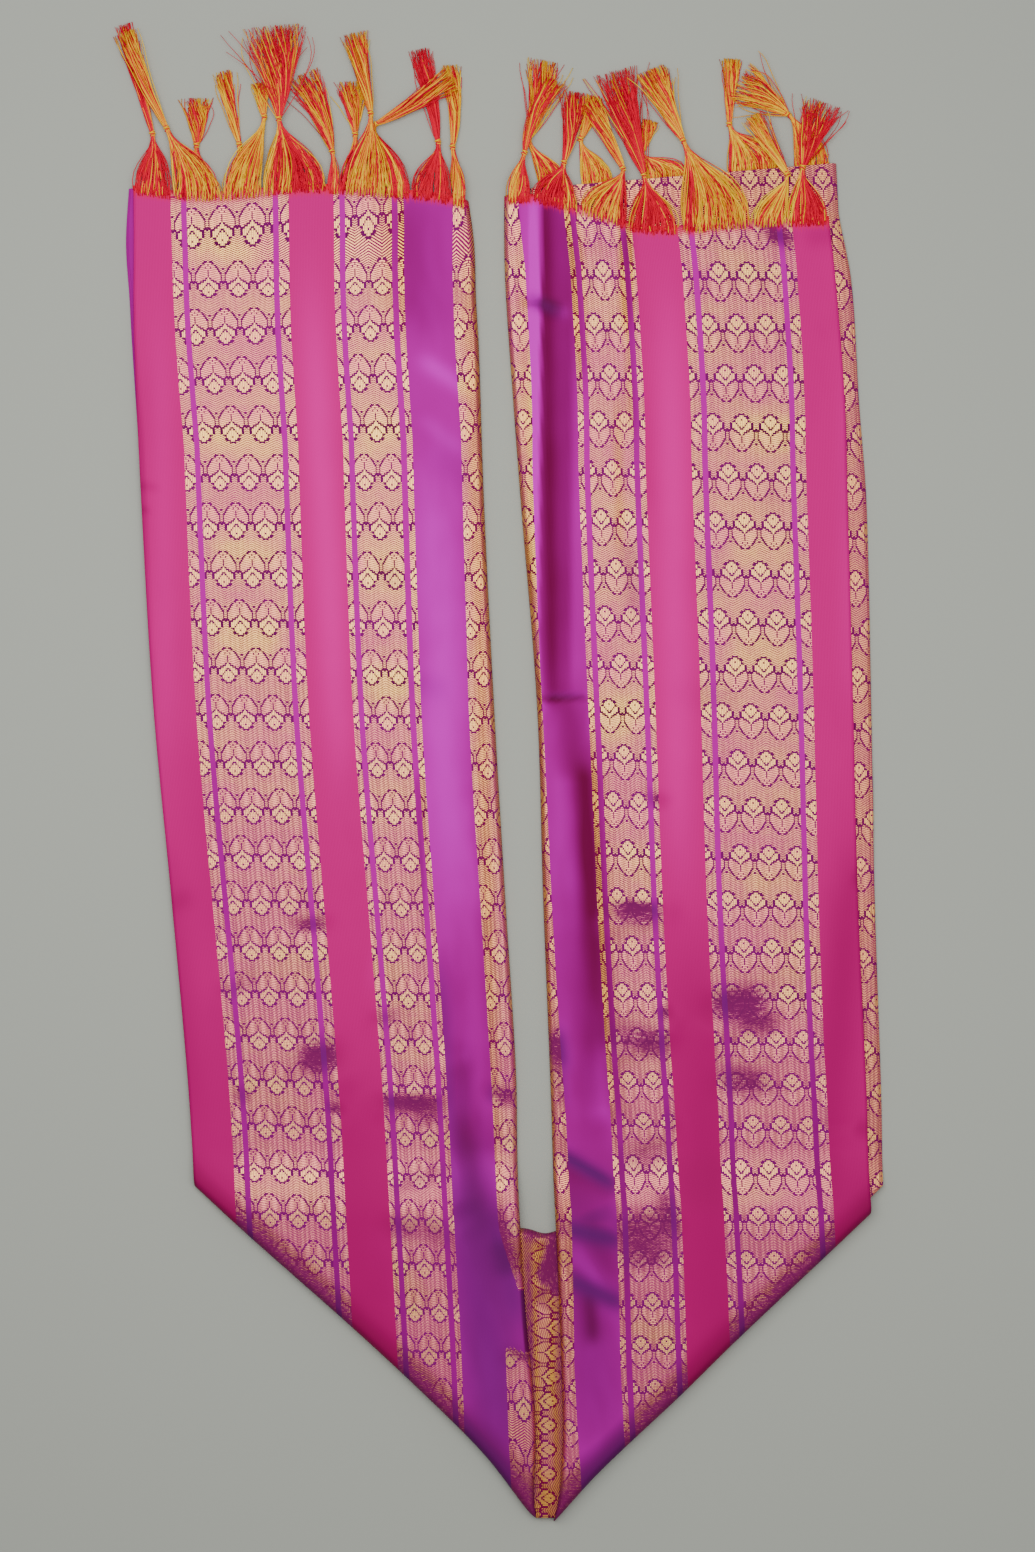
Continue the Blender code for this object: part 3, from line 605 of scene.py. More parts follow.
CASTS["right"]["low"] = table(Cast, [
    (50, 20, 70, -500, 36, 0.35), (20, -400, 300, -400, 220, 0.7), (146, -150, 176, -500, 34, 0.8),
    (268, -60, 236, -330, 20, 0.9), (176, 318, 206, 316, 18, 0.6),
    (186, -130, 216, -250, 30, 0.45), (92, 290, 100, 200, 16, 0.4), (96, -20, 116, -280, 16, 0.4),
])
CASTS["cross"]["dim"] = table(Cast, [
    (20, -340, 26, -560, 5, 0.75), (48, -340, 47, -560, 7, 0.6), (41, -352, 40, -392, 8, 0.9),
    (20, -346, 50, -346, 7, 0.8), (44, -390, 42, -470, 6, 0.35), (28, -535, 44, -560, 9, 0.35),
    (20, -345, 52, -345, 40, 0.25),
])

print("Casts:", {name: {kind: len(rows) for kind, rows in kinds.items()}
                 for name, kinds in CASTS.items()})

# %% Creases, casts and waves at any point
Wave = namedtuple("Wave", "length_x length_y turn start height")
WAVES = table(Wave, [
    (310, 63, 0.10, 0.4, 0.16), (420, 41, -0.08, 2.1, 0.11), (95, 150, 0.50, 1.3, 0.12),
    (70, 260, -0.35, 3.0, 0.10), (140, 29, 0.22, 4.2, 0.05), (48, 96, -0.60, 5.1, 0.06),
])
WAVE_WANDER, WAVE_LAG = 1.3, 1.7
SHARP_EDGE = 1.6


def wavy(x, y):
    """Soft unevenness that no flat cloth is without: a sum of long and short waves."""
    total = 0.0
    for wave in WAVES:
        along = x * math.cos(wave.turn) + y * math.sin(wave.turn)
        across = y * math.cos(wave.turn) - x * math.sin(wave.turn)
        wander = wave.start + WAVE_WANDER * np.sin(across / wave.length_y)
        up = np.sin(2 * math.pi * along / wave.length_x + wander)
        total = total + wave.height * up * np.cos(
            2 * math.pi * across / wave.length_y + wave.start * WAVE_LAG)
    return total


def line_place(line, x, y):
    """Places along a line from its middle and across it, and its length, for arrays or sockets."""
    run_x, run_y = line.x2 - line.x1, line.y2 - line.y1
    length = math.hypot(run_x, run_y)
    along = ((x - line.x1) * run_x + (y - line.y1) * run_y) / length - length / 2
    return along, ((x - line.x1) * run_y - (y - line.y1) * run_x) / length, length


def oval(crease, x, y):
    """1 along a crease's middle, and less towards its sides and ends."""
    along, across, length = line_place(crease, x, y)
    half = length / 2 + 0.6 * crease.half_width
    return np.exp(-np.abs(across / crease.half_width) ** 2.4 - np.abs(along / half) ** 3)


def cast_strength(cast, x, y):
    """A cast at each point: 1 along its line, or a band with a sharp edge on one side of it."""
    along, across, length = line_place(cast, x, y)
    if cast.side:
        line_x = cast.x1 + (cast.x2 - cast.x1) * np.clip(along / length + 0.5, 0, 1)
        across = cast.side * (x - line_x)
        band = smooth(across / SHARP_EDGE + 0.5) * (1 - smooth((across / cast.reach - 0.7) / 0.3))
        return band * np.exp(-np.abs(along / (length / 2 + 8)) ** 12)
    half = length / 2 + 0.5 * cast.reach
    return np.exp(-(np.abs(across) / cast.reach) ** 2 - np.abs(along / half) ** 5)


def shade_at(arm, x, y):
    """How much of the gold painted shade hides at each point, from 0 to 1."""
    return joined(crease.shade * oval(crease, x, y) for crease in CREASES[arm.name])


def cast_at(name, kind, x, y):
    """How strongly one kind of painted light and shade lies on the silk at each point, from 0 to 1.
    """
    return joined(cast.amount * cast_strength(cast, x, y) for cast in CASTS[name][kind])


print("The cloth's waves are within", round(sum(wave.height for wave in WAVES), 2), "mm")

# %% [markdown]
# ## The face cloth of an arm
#
# The cloth is a grid: columns run lengthwise from the selvedge and then round the inner fold, and
# rows run from the cut end down to the slanting turn and round it. Working the grid out from the
# edges keeps every thread line true, so stripes bend round the folds as woven ones do. Each point
# remembers its place on the loom, the painted light and shade laid on it, and how far it is from
# the cut end.

# %% Grid of an arm's face cloth
FLAT_COLUMNS = 92
FOLD_COLUMNS = 7
LENGTH_ROWS = 300
TURN_ROWS = 9
FOLD_GIRTH = 9.0
WAVES_SHARE = 0.8
# How far from the slanting turn creases flatten, painted shade hides the gold, and painted shade
# darkens the silk.
FLAT_REACH, GOLD_SHADE_REACH, DARK_REACH = 20, 32.0, 24.0
# How dark painted shade makes the silk at the turn, round the inner fold, and in a line along the
# selvedge.
TURN_DARK, FOLD_DARK, EDGE_DARK, EDGE_WIDTH = 1.15, 0.45, 0.55, 2.5
# First guesses for the two searches, in mm along the band.
TOP_GUESS, FOOT_GUESS = 430.0, -620.0


def column_x(arm, share, round_fold, y):
    selvedge = edge_x(arm, "selvedge", y)
    fold = edge_x(arm, "fold", y) - arm.side * FOLD_RADIUS
    return selvedge + share * (fold - selvedge) + arm.side * FOLD_RADIUS * np.sin(round_fold)


def column_top(arm, share, round_fold):
    top = np.full_like(share, TOP_GUESS)
    for _ in range(4):
        top = curve(arm.end, column_x(arm, share, round_fold, top))
    return top


def column_foot(arm, share, round_fold, inset):
    low, high = np.full_like(share, FOOT_GUESS), np.zeros_like(share)
    for _ in range(30):
        middle = (low + high) / 2
        x = column_x(arm, share, round_fold, middle)
        beyond = arm.side * (x - turn_x(arm, middle, inset)) > 0
        high, low = np.where(beyond, middle, high), np.where(beyond, low, middle)
    return high


def face_height(arm, share, x, y):
    """Height of the face cloth away from its folds."""
    creases = ridge_height(CREASES[arm.name], x, y) + WAVES_SHARE * wavy(x, y)
    creases = creases * smooth(share * 12) * smooth(turn_distance(arm, x, y) / FLAT_REACH)
    return lifted(y) + curve(STACK, share) + ridge_height(RIDGES[arm.name], x, y) + creases


def arm_grid(arm):
    quarter = math.pi / 2
    share = np.concatenate((np.linspace(0, 1, FLAT_COLUMNS), np.ones(FOLD_COLUMNS)))
    fold = quarter * np.maximum(np.arange(1 - FLAT_COLUMNS, FOLD_COLUMNS + 1), 0) / FOLD_COLUMNS
    down = np.concatenate((np.linspace(0, 1, LENGTH_ROWS), np.ones(TURN_ROWS)))[:, None]
    turn = quarter * np.maximum(np.arange(1 - LENGTH_ROWS, TURN_ROWS + 1), 0)[:, None] / TURN_ROWS
    top = column_top(arm, share, fold)
    foot = column_foot(arm, share, fold, TURN_RADIUS)
    edge = column_foot(arm, share, fold, 0.0)
    y = top + (foot - top) * down + (edge - foot) * np.sin(turn)
    x = column_x(arm, share[None, :], fold[None, :], y)
    rim = lifted(y) + GAP
    height = face_height(arm, share, x, y)
    height = rim + (height - rim) * np.cos(fold)
    height = GAP + (height - GAP) * np.cos(turn)
    flat_x = np.where(fold > 0, edge_x(arm, "fold", y) - arm.side * FOLD_RADIUS, x)
    across, along = loom_place(arm, flat_x, y, beyond=FOLD_GIRTH * fold / quarter)
    from_turn = turn_distance(arm, x, y)
    # Painted shade near the slanting turn, round the inner fold and along the selvedge: the gold is
    # hidden and the silk darkened.
    shade = 1 - (1 - shade_at(arm, x, y)) * (1 - 0.9 * smooth(1 - from_turn / GOLD_SHADE_REACH))
    dim = np.maximum(cast_at(arm.name, "dim", x, y), TURN_DARK * smooth(1 - from_turn / DARK_REACH))
    dim = dim + FOLD_DARK * np.sin(fold) ** 2 + EDGE_DARK * np.exp(-(across / EDGE_WIDTH) ** 2)
    return x, y, height, across, along, shade, dim, top - y


def turn_distance(arm, x, y):
    """How far a point lies inside the slanting turn, in mm."""
    return np.maximum(0.0, (x - turn_x(arm, y, 0.0)) * arm.inward[0])


print("Columns and rows:", FLAT_COLUMNS + FOLD_COLUMNS, LENGTH_ROWS + TURN_ROWS)


# %% Meshes that remember their places on the loom
STEEPEST = 1.5


def new_object(name, points, faces):
    """A smooth mesh in the scene, from places in millimetres."""
    mesh = bpy.data.meshes.new(name)
    mesh.from_pydata(place(points).tolist(), [], faces)
    mesh.shade_smooth()
    return link(name, mesh)


def grid_object(name, x, y, z):
    """An object from a grid of points, with its front upwards."""
    points = np.stack((x, y, z), axis=-1).reshape(-1, 3)
    index = np.arange(x.size).reshape(x.shape)
    faces = np.stack((index[:-1, :-1], index[1:, :-1], index[1:, 1:], index[:-1, 1:]), axis=-1)
    faces = faces.reshape(-1, 4)
    a, b, c = points[faces[:, 0]], points[faces[:, 1]], points[faces[:, 3]]
    if np.cross(b - a, c - a)[:, 2].sum() < 0:
        faces = faces[:, ::-1]
    return new_object(name, points, faces.tolist())


def remember(made, **attributes):
    """Stores named sets of three numbers at every point of a mesh, for its shader to read."""
    count = len(made.data.vertices)
    for name, parts in attributes.items():
        values = np.stack([np.broadcast_to(np.ravel(part), count) for part in parts], axis=-1)
        layer = made.data.attributes.new(name, "FLOAT_VECTOR", "POINT")
        layer.data.foreach_set("vector", values.astype(np.float32).ravel())


def thicken(made):
    """Gives a cloth its thickness, and returns the area that it had as a sheet."""
    area = sum(polygon.area for polygon in made.data.polygons)
    shell = made.modifiers.new("cloth", "SOLIDIFY")
    shell.thickness = CLOTH_THICKNESS * MM
    shell.offset = -1
    return area


def stand_for(made, node, slot):
    """Puts a piece in the place of its CAD node."""
    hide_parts(node)
    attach(made, "root")
    print(made.name, len(made.data.polygons), "faces")


def slope_to_light(x, z):
    """How far the cloth leans to the light on the left, in slope, for painted light and shade."""
    return np.clip(np.gradient(z, axis=1) / np.gradient(x, axis=1), -STEEPEST, STEEPEST)


print("Cloth is", CLOTH_THICKNESS, "mm thick")

# %% The two face cloths
faces = {}
flat_area = {}
for arm in (LEFT, RIGHT):
    x, y, z, across, along, shade, dim, from_end = arm_grid(arm)
    made = grid_object(arm.name + "_face_cloth", x, y, z)
    # Each point keeps its place on the loom and the painted light and shade laid on it.
    remember(made, loom=(across, along, from_end), light=(shade, slope_to_light(x, z), dim),
             hue=[cast_at(arm.name, kind, x, y) for kind in ("blue", "lit", "low")])
    flat_area[arm.name] = thicken(made)
    stand_for(made, arm.name + "_arm_cloth", "zari_cloth")
    faces[arm.name] = made
print("Square metres:", {name: round(area, 4) for name, area in flat_area.items()})

# %% [markdown]
# ## The cross stretch
#
# Between the feet of the arms the band crosses behind them, and only a narrow strip of it shows in
# the notch of the V. Its motifs lie sideways, because the cloth has turned a right angle. The
# strip bunches a little, with a hollow at its upper right, before it dives under the arms.

# %% The cross stretch's cloth
CROSS_TIP_LEFT = 27.0
CROSS_TIP_RIGHT = 41.3
CROSS_TUCK = 4.7
FAR_FROM_END = 50.0
CROSS_COLUMNS = 130
CROSS_ROWS = 100
CROSS_ROLL_ROWS = 7
# Columns crowd about the middle of the notch. There the upper edge bows down, and no crease goes
# deeper than the trough or higher than the crest, since the layers lie just beneath.
NOTCH_MIDDLE, CROWDING = 36.0, 2.2
BOW_DEPTH, BOW_MIDDLE, BOW_HALF, BOW_FADE = 4.2, 34.0, 10.5, 34.0
TROUGH, CREST = -0.75, 0.25
# Places on the loom: at the upper edge, at the left, and a slip of the rows towards the tip.
CROSS_EDGE, CROSS_ROWS_START = 244.0, 15.0
SLIP, SLIP_START, SLIP_RUN = 8.0, 495.0, 80.0
# A little painted shade over the whole strip, which lies low in the notch between the arms.
CROSS_DIM = 0.2
CROSS_CREASES = table(Crease, [
    (35, -378, 46, -350, 8, -1.9, 0.95), (24, -348, 30, -390, 4.5, 0.7, 0.0),
    (40, -352, 34, -392, 6, -0.8, 0.45), (29, -400, 44, -408, 5, -0.7, 0.35),
    (20, -346, 50, -344, 4, -0.6, 0.7),
])


def cross_span(y, inset):
    return (np.minimum(turn_x(LEFT, y, inset), CROSS_TIP_LEFT),
            np.maximum(turn_x(RIGHT, y, inset), CROSS_TIP_RIGHT))


def cross_grid():
    angles = math.pi / 2 * np.arange(CROSS_ROLL_ROWS, 0, -1) / CROSS_ROLL_ROWS
    north = CROSS_NORTH - CROSS_RADIUS * (1 - np.sin(angles))
    south = CROSS_SOUTH + CROSS_RADIUS * (1 - np.sin(angles[::-1]))
    flat = np.linspace(CROSS_NORTH - CROSS_RADIUS, CROSS_SOUTH + CROSS_RADIUS, CROSS_ROWS)
    y = np.concatenate((north, flat, south))[:, None]
    level = np.concatenate((np.cos(angles), np.ones(CROSS_ROWS), np.cos(angles[::-1])))[:, None]
    left, right = cross_span(y, CROSS_TUCK)
    share = np.linspace(0, 1, CROSS_COLUMNS)[None, :]
    shown = 0.5 + 0.5 * np.sign(share - 0.5) * np.abs(2 * share - 1) ** CROWDING
    middle = np.clip(NOTCH_MIDDLE, left + 1, right - 1)
    x = np.where(shown < 0.5, left + (middle - left) * shown * 2,
                 middle + (right - middle) * (shown * 2 - 1))
    across = CROSS_EDGE + CROSS_NORTH - y - (1 - level) * CROSS_RADIUS + 0 * x
    bow = BOW_DEPTH * np.exp(-((x - BOW_MIDDLE) / BOW_HALF) ** 2)
    y = y - bow * smooth(1 - (CROSS_NORTH - y) / BOW_FADE)
    rise = ridge_height(CROSS_CREASES, x, y) * smooth(level * 3 - 2)
    z = GAP + (CROSS_HEIGHT - GAP) * level + np.clip(rise, TROUGH, CREST)
    # Painted shade along the strip's creases, which hides their gold.
    shade = joined(crease.shade * np.exp(-away_from(crease, x, y) ** 3) for crease in CROSS_CREASES)
    along = x - CROSS_ROWS_START + 2 * ROW_PITCH - SLIP * smooth((y + SLIP_START) / SLIP_RUN)
    return x, y, z, across, along, shade, CROSS_DIM + cast_at("cross", "dim", x, y)


x, y, z, across, along, shade, dim = cross_grid()
cross_face = grid_object("cross_face_cloth", x, y, z)
remember(cross_face, loom=(across, along, FAR_FROM_END), light=(shade, slope_to_light(x, z), dim),
         hue=(0, 0, 0))
flat_area["cross"] = thicken(cross_face)
stand_for(cross_face, "cross_cloth", "zari_cloth")

# %% [markdown]
# ## The hidden layers
#
# Under each face cloth lie three more layers of the folded band. They show only at the outer edge,
# as soft rounded lips one over the other, and underneath. Each is a lofted solid: rings across the
# band, from the cut end to the foot, with a lip for each layer. The lips wander a little along the
# band, since no one folds four metres of edge exactly.

# %% Rings round an arm's layers
# Each lip's top, as a share of the layers' height, and how far in it lies.
LIP_TOPS, LIP_INSETS = [1.0, 0.68, 0.34], [2.4, 1.0, 0.2]
LIP_HALF, LIP_BULGE = 0.155, 1.1
LIP_POINTS = 6
# Layers stop this far short of the fold, and their lips shrink where the band is narrower.
LAYERS_INSET, FULL_WIDTH = 1.2, 48.0


def lip_profile(wander):
    """Points of the layered edge, from top to floor: how far in, and height as a share."""
    points = []
    for top, inset, stray in zip(LIP_TOPS, LIP_INSETS, wander):
        for k in range(LIP_POINTS):
            angle = math.pi * k / (LIP_POINTS - 1)
            points.append((inset + stray + LIP_BULGE * (1 - math.sin(angle)),
                           top - LIP_HALF + LIP_HALF * math.cos(angle)))
    return points


def layer_ring(arm, y, base, wander, on_cut_end=False):
    """A ring round an arm's layers, from the inner edge over the top and the lips to the floor."""
    outer = float(edge_x(arm, "under", y))
    turn = float(turn_x(arm, y, UNDER_TURN_INSET))
    if arm.side * (turn - outer) > 0:
        outer = turn
    inner = float(edge_x(arm, "fold", y)) - arm.side * (FOLD_RADIUS + LAYERS_INSET)
    room = min(1.0, abs(inner - outer) / FULL_WIDTH)
    middle = inner + (outer - inner) * 0.5
    rise = float(lifted(y + CLIMB_LAG)) if base == 0 else base
    top = rise + LAYERS_HEIGHT
    ring = [(inner, base), (inner, rise + 1.2), (inner, rise + 2.4),
            (inner - arm.side * 1.2 * room, top), (middle, top),
            (outer + arm.side * 16 * room, top), (outer + arm.side * 9 * room, top)]
    ring += [(outer + arm.side * inward * room, rise + LAYERS_HEIGHT * max(share, 0.0))
             for inward, share in lip_profile(wander)]
    ring += [(outer + arm.side * 1.4 * room, base), (middle, base)]
    return [(px, float(curve(arm.under_end, px)) if on_cut_end else y, pz) for px, pz in ring]


def wander_at(y, arm):
    """How far each lip strays inwards at y."""
    start = 0.7 if arm is LEFT else 2.6
    return [0.5 * math.sin(y / 47 + start) + 0.25 * math.sin(y / 13.7 + start),
            0.45 * math.sin(y / 61 + start * 2) + 0.2 * math.sin(y / 17.1),
            0.15 + 0.15 * math.sin(y / 83 + start * 3)]


def loft_object(name, rings):
    """A closed solid through rings of points."""
    count = len(rings[0])
    last = (len(rings) - 1) * count
    sides = [(low + k, low + (k + 1) % count, low + count + (k + 1) % count, low + count + k)
             for low in range(0, last, count) for k in range(count)]
    ends = [tuple(range(count)), tuple(last + k for k in reversed(range(count)))]
    made = new_object(name, np.array(rings).reshape(-1, 3), sides + ends)
    made.data.validate()
    made.data.set_sharp_from_angle(angle=math.radians(SHARP_DEGREES))
    return made


print("Points in a ring:", len(layer_ring(LEFT, 0.0, 0.0, wander_at(0.0, LEFT))))

# %% Layered solids under the arms
SHARP_DEGREES = 50
FLOOR_START, OVER_END = 418.0, -533.0
FLOOR_STATIONS, OVER_STATIONS = 150, 60
# Where the layers step up beside the cross stretch.
STEP_FOOT, STEP_HEAD = 1.6, 1.0
# Places on the loom of the lips, which are the same cloth as the stripes above them.
LAYERS_ALONG = 11.0
LIPS_ACROSS_LEFT, LIPS_ACROSS_RIGHT = 224.0, 262.0
# Painted shade on the layers, which lie under the face cloth's edge.
LAYERS_SHADE = 0.15

layers = {}
for arm in (LEFT, RIGHT):
    ends = float(arm.under_end[0][1])
    floor_ys = np.linspace(FLOOR_START, CROSS_NORTH + STEP_FOOT, FLOOR_STATIONS)
    over_ys = np.linspace(CROSS_NORTH + STEP_HEAD, OVER_END, OVER_STATIONS)
    rings = [layer_ring(arm, ends, 0.0, wander_at(ends, arm), on_cut_end=True)]
    rings += [layer_ring(arm, y, 0.0, wander_at(y, arm)) for y in floor_ys]
    rings += [layer_ring(arm, y, CROSS_HEIGHT + GAP, wander_at(y, arm)) for y in over_ys]
    made = loft_object(arm.name + "_folded_layers", rings)
    points = np.array(rings).reshape(-1, 3)
    out = (edge_x(arm, "under", points[:, 1]) - points[:, 0]) * -arm.side
    across = LIPS_ACROSS_LEFT - out if arm is LEFT else LIPS_ACROSS_RIGHT + np.abs(out)
    along = row_number(arm, points[:, 1] + LAYERS_ALONG) * ROW_PITCH
    remember(made, loom=(across, along, FAR_FROM_END), light=(LAYERS_SHADE, 0, 0), hue=(0, 0, 0))
    stand_for(made, arm.name + "_hidden_layers", "folded_layers")
    layers[arm.name] = made

# %% Layers under the cross stretch
CROSS_LAYERS = 3
CROSS_STATIONS = 40
# How much lower the layers lie than the cloth, how far in they begin, and each layer's step.
CROSS_LAYERS_DROP, CROSS_LAYERS_INSET, CROSS_STEP = 1.2, 5.0, 1.8
# The layers under the cross stretch take painted shade too.
CROSS_LAYERS_ACROSS, CROSS_LAYERS_SHADE = 60.0, 0.3


def cross_layer_rings():
    top = CROSS_HEIGHT - CROSS_LAYERS_DROP - GAP
    flat_north = CROSS_NORTH - CROSS_RADIUS - CROSS_LAYERS_INSET
    flat_south = CROSS_SOUTH + CROSS_RADIUS + LAYERS_INSET
    rows = [(flat_north + CROSS_STEP * (CROSS_LAYERS - 1 - k), top * (k + 1) / CROSS_LAYERS)
            for k in range(CROSS_LAYERS)]
    rows += [(float(y), top) for y in np.linspace(flat_north, flat_south, CROSS_STATIONS)[1:]]
    rings = []
    for y, height in rows:
        left, right = (float(v) for v in cross_span(y, UNDER_TURN_INSET + GAP))
        rings.append([(left, y, 0.0), (right, y, 0.0), (right, y, height), (left, y, height)])
    return rings


rings = cross_layer_rings()
cross_layers = loft_object("cross_folded_layers", rings)
points = np.array(rings).reshape(-1, 3)
across = CROSS_LAYERS_ACROSS + CROSS_NORTH - points[:, 1]
remember(cross_layers, loom=(across, points[:, 0], FAR_FROM_END),
         light=(CROSS_LAYERS_SHADE, 0, 0), hue=(0, 0, 0))
stand_for(cross_layers, "cross_hidden_layers", "folded_layers")
layers["cross"] = cross_layers

# %% [markdown]
# ## The woven silk
#
# Two shuttles wove this cloth: silk on a silk warp for the plain stripes, and flat gilt thread, the
# zari, for the brocade. The ground is shot silk, with magenta one way and purple the other. Its
# lilac where it leans to the light is painted light, and its crimson where it leans away is painted
# shade.
#
# The brocade has one motif, a bud between two leaves under an arch, set half a step over on every
# other row. It could be drawn as a picture, but a picture has a fixed fineness and a size. Here a
# few nodes work it out instead: the distance across a repeat is mirrored, an outline is read from
# one curve, and what lies inside it is filled with slanting or upright floats of gold. Places are
# first rounded to whole threads, which steps the outlines as a loom does.

# %% Stripes of the cloth, from the selvedge
Stripe = namedtuple("Stripe", "start end kind")
STRIPES = table(Stripe, [
    (-20.0, 32.4, "magenta"), (32.4, 40.1, "brocade"), (40.1, 44.2, "purple"),
    (44.2, 105.4, "brocade"), (105.4, 109.6, "purple"), (109.6, 117.2, "brocade"),
    (117.2, 150.6, "magenta"), (150.6, 154.8, "brocade"), (154.8, 159.0, "purple"),
    (159.0, 193.5, "brocade"), (193.5, 198.0, "purple"), (198.0, 202.4, "brocade"),
    (202.4, 238.5, "violet"), (238.5, 520.0, "brocade"),
])
# Each brocade stripe's first thread, the width of its repeat, and the place of one even motif.
Repeat = namedtuple("Repeat", "start width motif")
REPEATS = {name: table(Repeat, [
    (0, 21.5, 33.5), (42, 21.5, 79.9), (107, 21.5, 109.5), (150, 20.2, 147.0),
    (157, 20.2, 186.2), (196, 20.2, 202.0), (238, 18.2, last_motif),
]) for name, last_motif in (("left", 250.5), ("right", 245.5))}
MOTIF_WIDTH = 21.5
HALF_OUTLINE = [(0.0, 0.0), (0.7, 2.0), (1.9, 3.6), (3.6, 5.0), (5.6, 6.3), (7.5, 7.7), (9.0, 9.3),
                (14.8, 9.3), (16.0, 8.6), (17.8, 7.7), (20.6, 7.7), (21.9, 5.6), (22.6, 4.7),
                (24.4, 4.7), (25.6, 3.3), (26.6, 1.6), (27.5, 0.0)]
OUTLINE_HEIGHT, OUTLINE_REACH = 40.0, 12.0
THREAD_ACROSS = 0.93
THREAD_ALONG = ROW_PITCH / 27
LINE_WIDTH = 0.74
LINE_OVERRUN = 0.3

# Lines and dots inside the motif, as places from its centre line and its top.
Vein = namedtuple("Vein", "x1 y1 x2 y2 half_width")
VEINS = table(Vein, [
    (0.0, 6.4, 0.0, 11.8, 0.48), (0.9, 12.2, 7.4, 17.3, 0.72), (0.0, 15.9, 4.5, 21.5, 0.52),
    (9.3, 14.6, 10.75, 16.8, 0.56),
])
Spot = namedtuple("Spot", "x y radius")
SPOTS = table(Spot, [(0.0, 3.3, 0.75), (1.86, 4.6, 0.62), (0.0, 22.9, 0.75), (10.75, 5.9, 0.75)])
CHEVRON_SLOPE = 3 * THREAD_ALONG / (MOTIF_WIDTH / 2)
# Heights in a repeat where the outline ends, where the chevrons turn and where petals begin.
OUTLINE_END, CHEVRON_TURN, PETAL_FOOT = 28.0, 17.0, 11.6
PETAL_SLOPE, LEAF_SLOPE, PETAL_FLOAT, PETAL_START = 0.78, 0.22, 1.24, 0.36
# Of each thread's pitch, the part that is gold, and how much more where the painted highlight makes
# the cloth gleam.
BACKGROUND_GOLD, LEAF_GOLD, PETAL_GOLD = (0.37, 0.20), (0.54, 0.18), (0.72, 0.12)

print("Stripes woven:", len(STRIPES), "motif", MOTIF_WIDTH, "x", ROW_PITCH, "mm")


# %% The motif, worked out
def stripe_mask(across, kind):
    """1 inside the stripes of a kind, else 0. across is a socket or an array."""
    return sum(abs(across - (stripe.start + stripe.end) / 2) < (stripe.end - stripe.start) / 2
               for stripe in STRIPES if stripe.kind == kind)


def near_vein(x, y, vein):
    """1 on a line of the motif, else 0."""
    along, across, length = line_place(vein, x, y)
    return (abs(across) < vein.half_width) * (abs(along) < length / 2 + LINE_OVERRUN)


def near_spot(x, y, spot):
    return (x - spot.x) * (x - spot.x) + (y - spot.y) * (y - spot.y) < spot.radius ** 2


def half_outline(finish, y):
    """The motif's half width at a height, read from one curve."""
    places = [(height / OUTLINE_HEIGHT, half / OUTLINE_REACH) for height, half in HALF_OUTLINE]
    made = finish.node("ShaderNodeFloatCurve", {"line": places + [(1.0, 0.0)]},
                       {"Value": y / OUTLINE_HEIGHT})
    return Value(finish, made.outputs[0]) * OUTLINE_REACH


def step_sum(across, repeats, field):
    """A column of the repeats' table at each point: its first value plus every change passed."""
    total = getattr(repeats[0], field)
    for before, after in zip(repeats, repeats[1:]):
        change = getattr(after, field) - getattr(before, field)
        if change:
            total = (across > float(after.start)) * change + total
    return total


def floats(turns, gold, gleam):
    """1 where gilt thread floats on the face, once in each turn, else 0."""
    return turns.remainder() < gold[0] + gleam * gold[1]


def brocade(finish, across, along, repeats, gleam):
    """Masks of the woven pattern: where gold floats, where outlines lie, and the bud's petals."""
    row = (along / ROW_PITCH).whole()
    y = along - row * ROW_PITCH
    turns = (across - step_sum(across, repeats, "motif")) / step_sum(across, repeats, "width")
    x = abs((turns + (row * 0.5).remainder() + 0.5).remainder() - 0.5) * MOTIF_WIDTH
    x_step = (x / THREAD_ACROSS + 0.5).whole() * THREAD_ACROSS
    y_step = ((y / THREAD_ALONG).whole() + 0.5) * THREAD_ALONG
    half = half_outline(finish, y_step)
    slope = (half_outline(finish, y_step + 0.5) - half) * 2.0
    distance = abs(x_step - half) / (slope * slope + 1.0).math("SQRT")
    inside = x_step < half
    outline = (distance < LINE_WIDTH) * (y_step < OUTLINE_END)
    for vein in VEINS:
        outline = outline.either(near_vein(x_step, y_step, vein))
    for spot in SPOTS:
        outline = outline.either(near_spot(x_step, y_step, spot))
    petals = inside * (y_step - x_step * PETAL_SLOPE > PETAL_FOOT)
    leaves = inside - petals
    lean = x * (1.0 - (y > CHEVRON_TURN) * 2.0) * CHEVRON_SLOPE
    gold = (floats((y + lean) / THREAD_ALONG, BACKGROUND_GOLD, gleam) * (1 - inside)
            + floats((y - x * LEAF_SLOPE) / THREAD_ALONG, LEAF_GOLD, gleam) * leaves
            + floats(x / PETAL_FLOAT + PETAL_START, PETAL_GOLD, gleam) * petals)
    return gold * (1 - outline), outline, petals, leaves


print("A repeat has", len(VEINS), "lines and", len(SPOTS), "dots inside its outline")


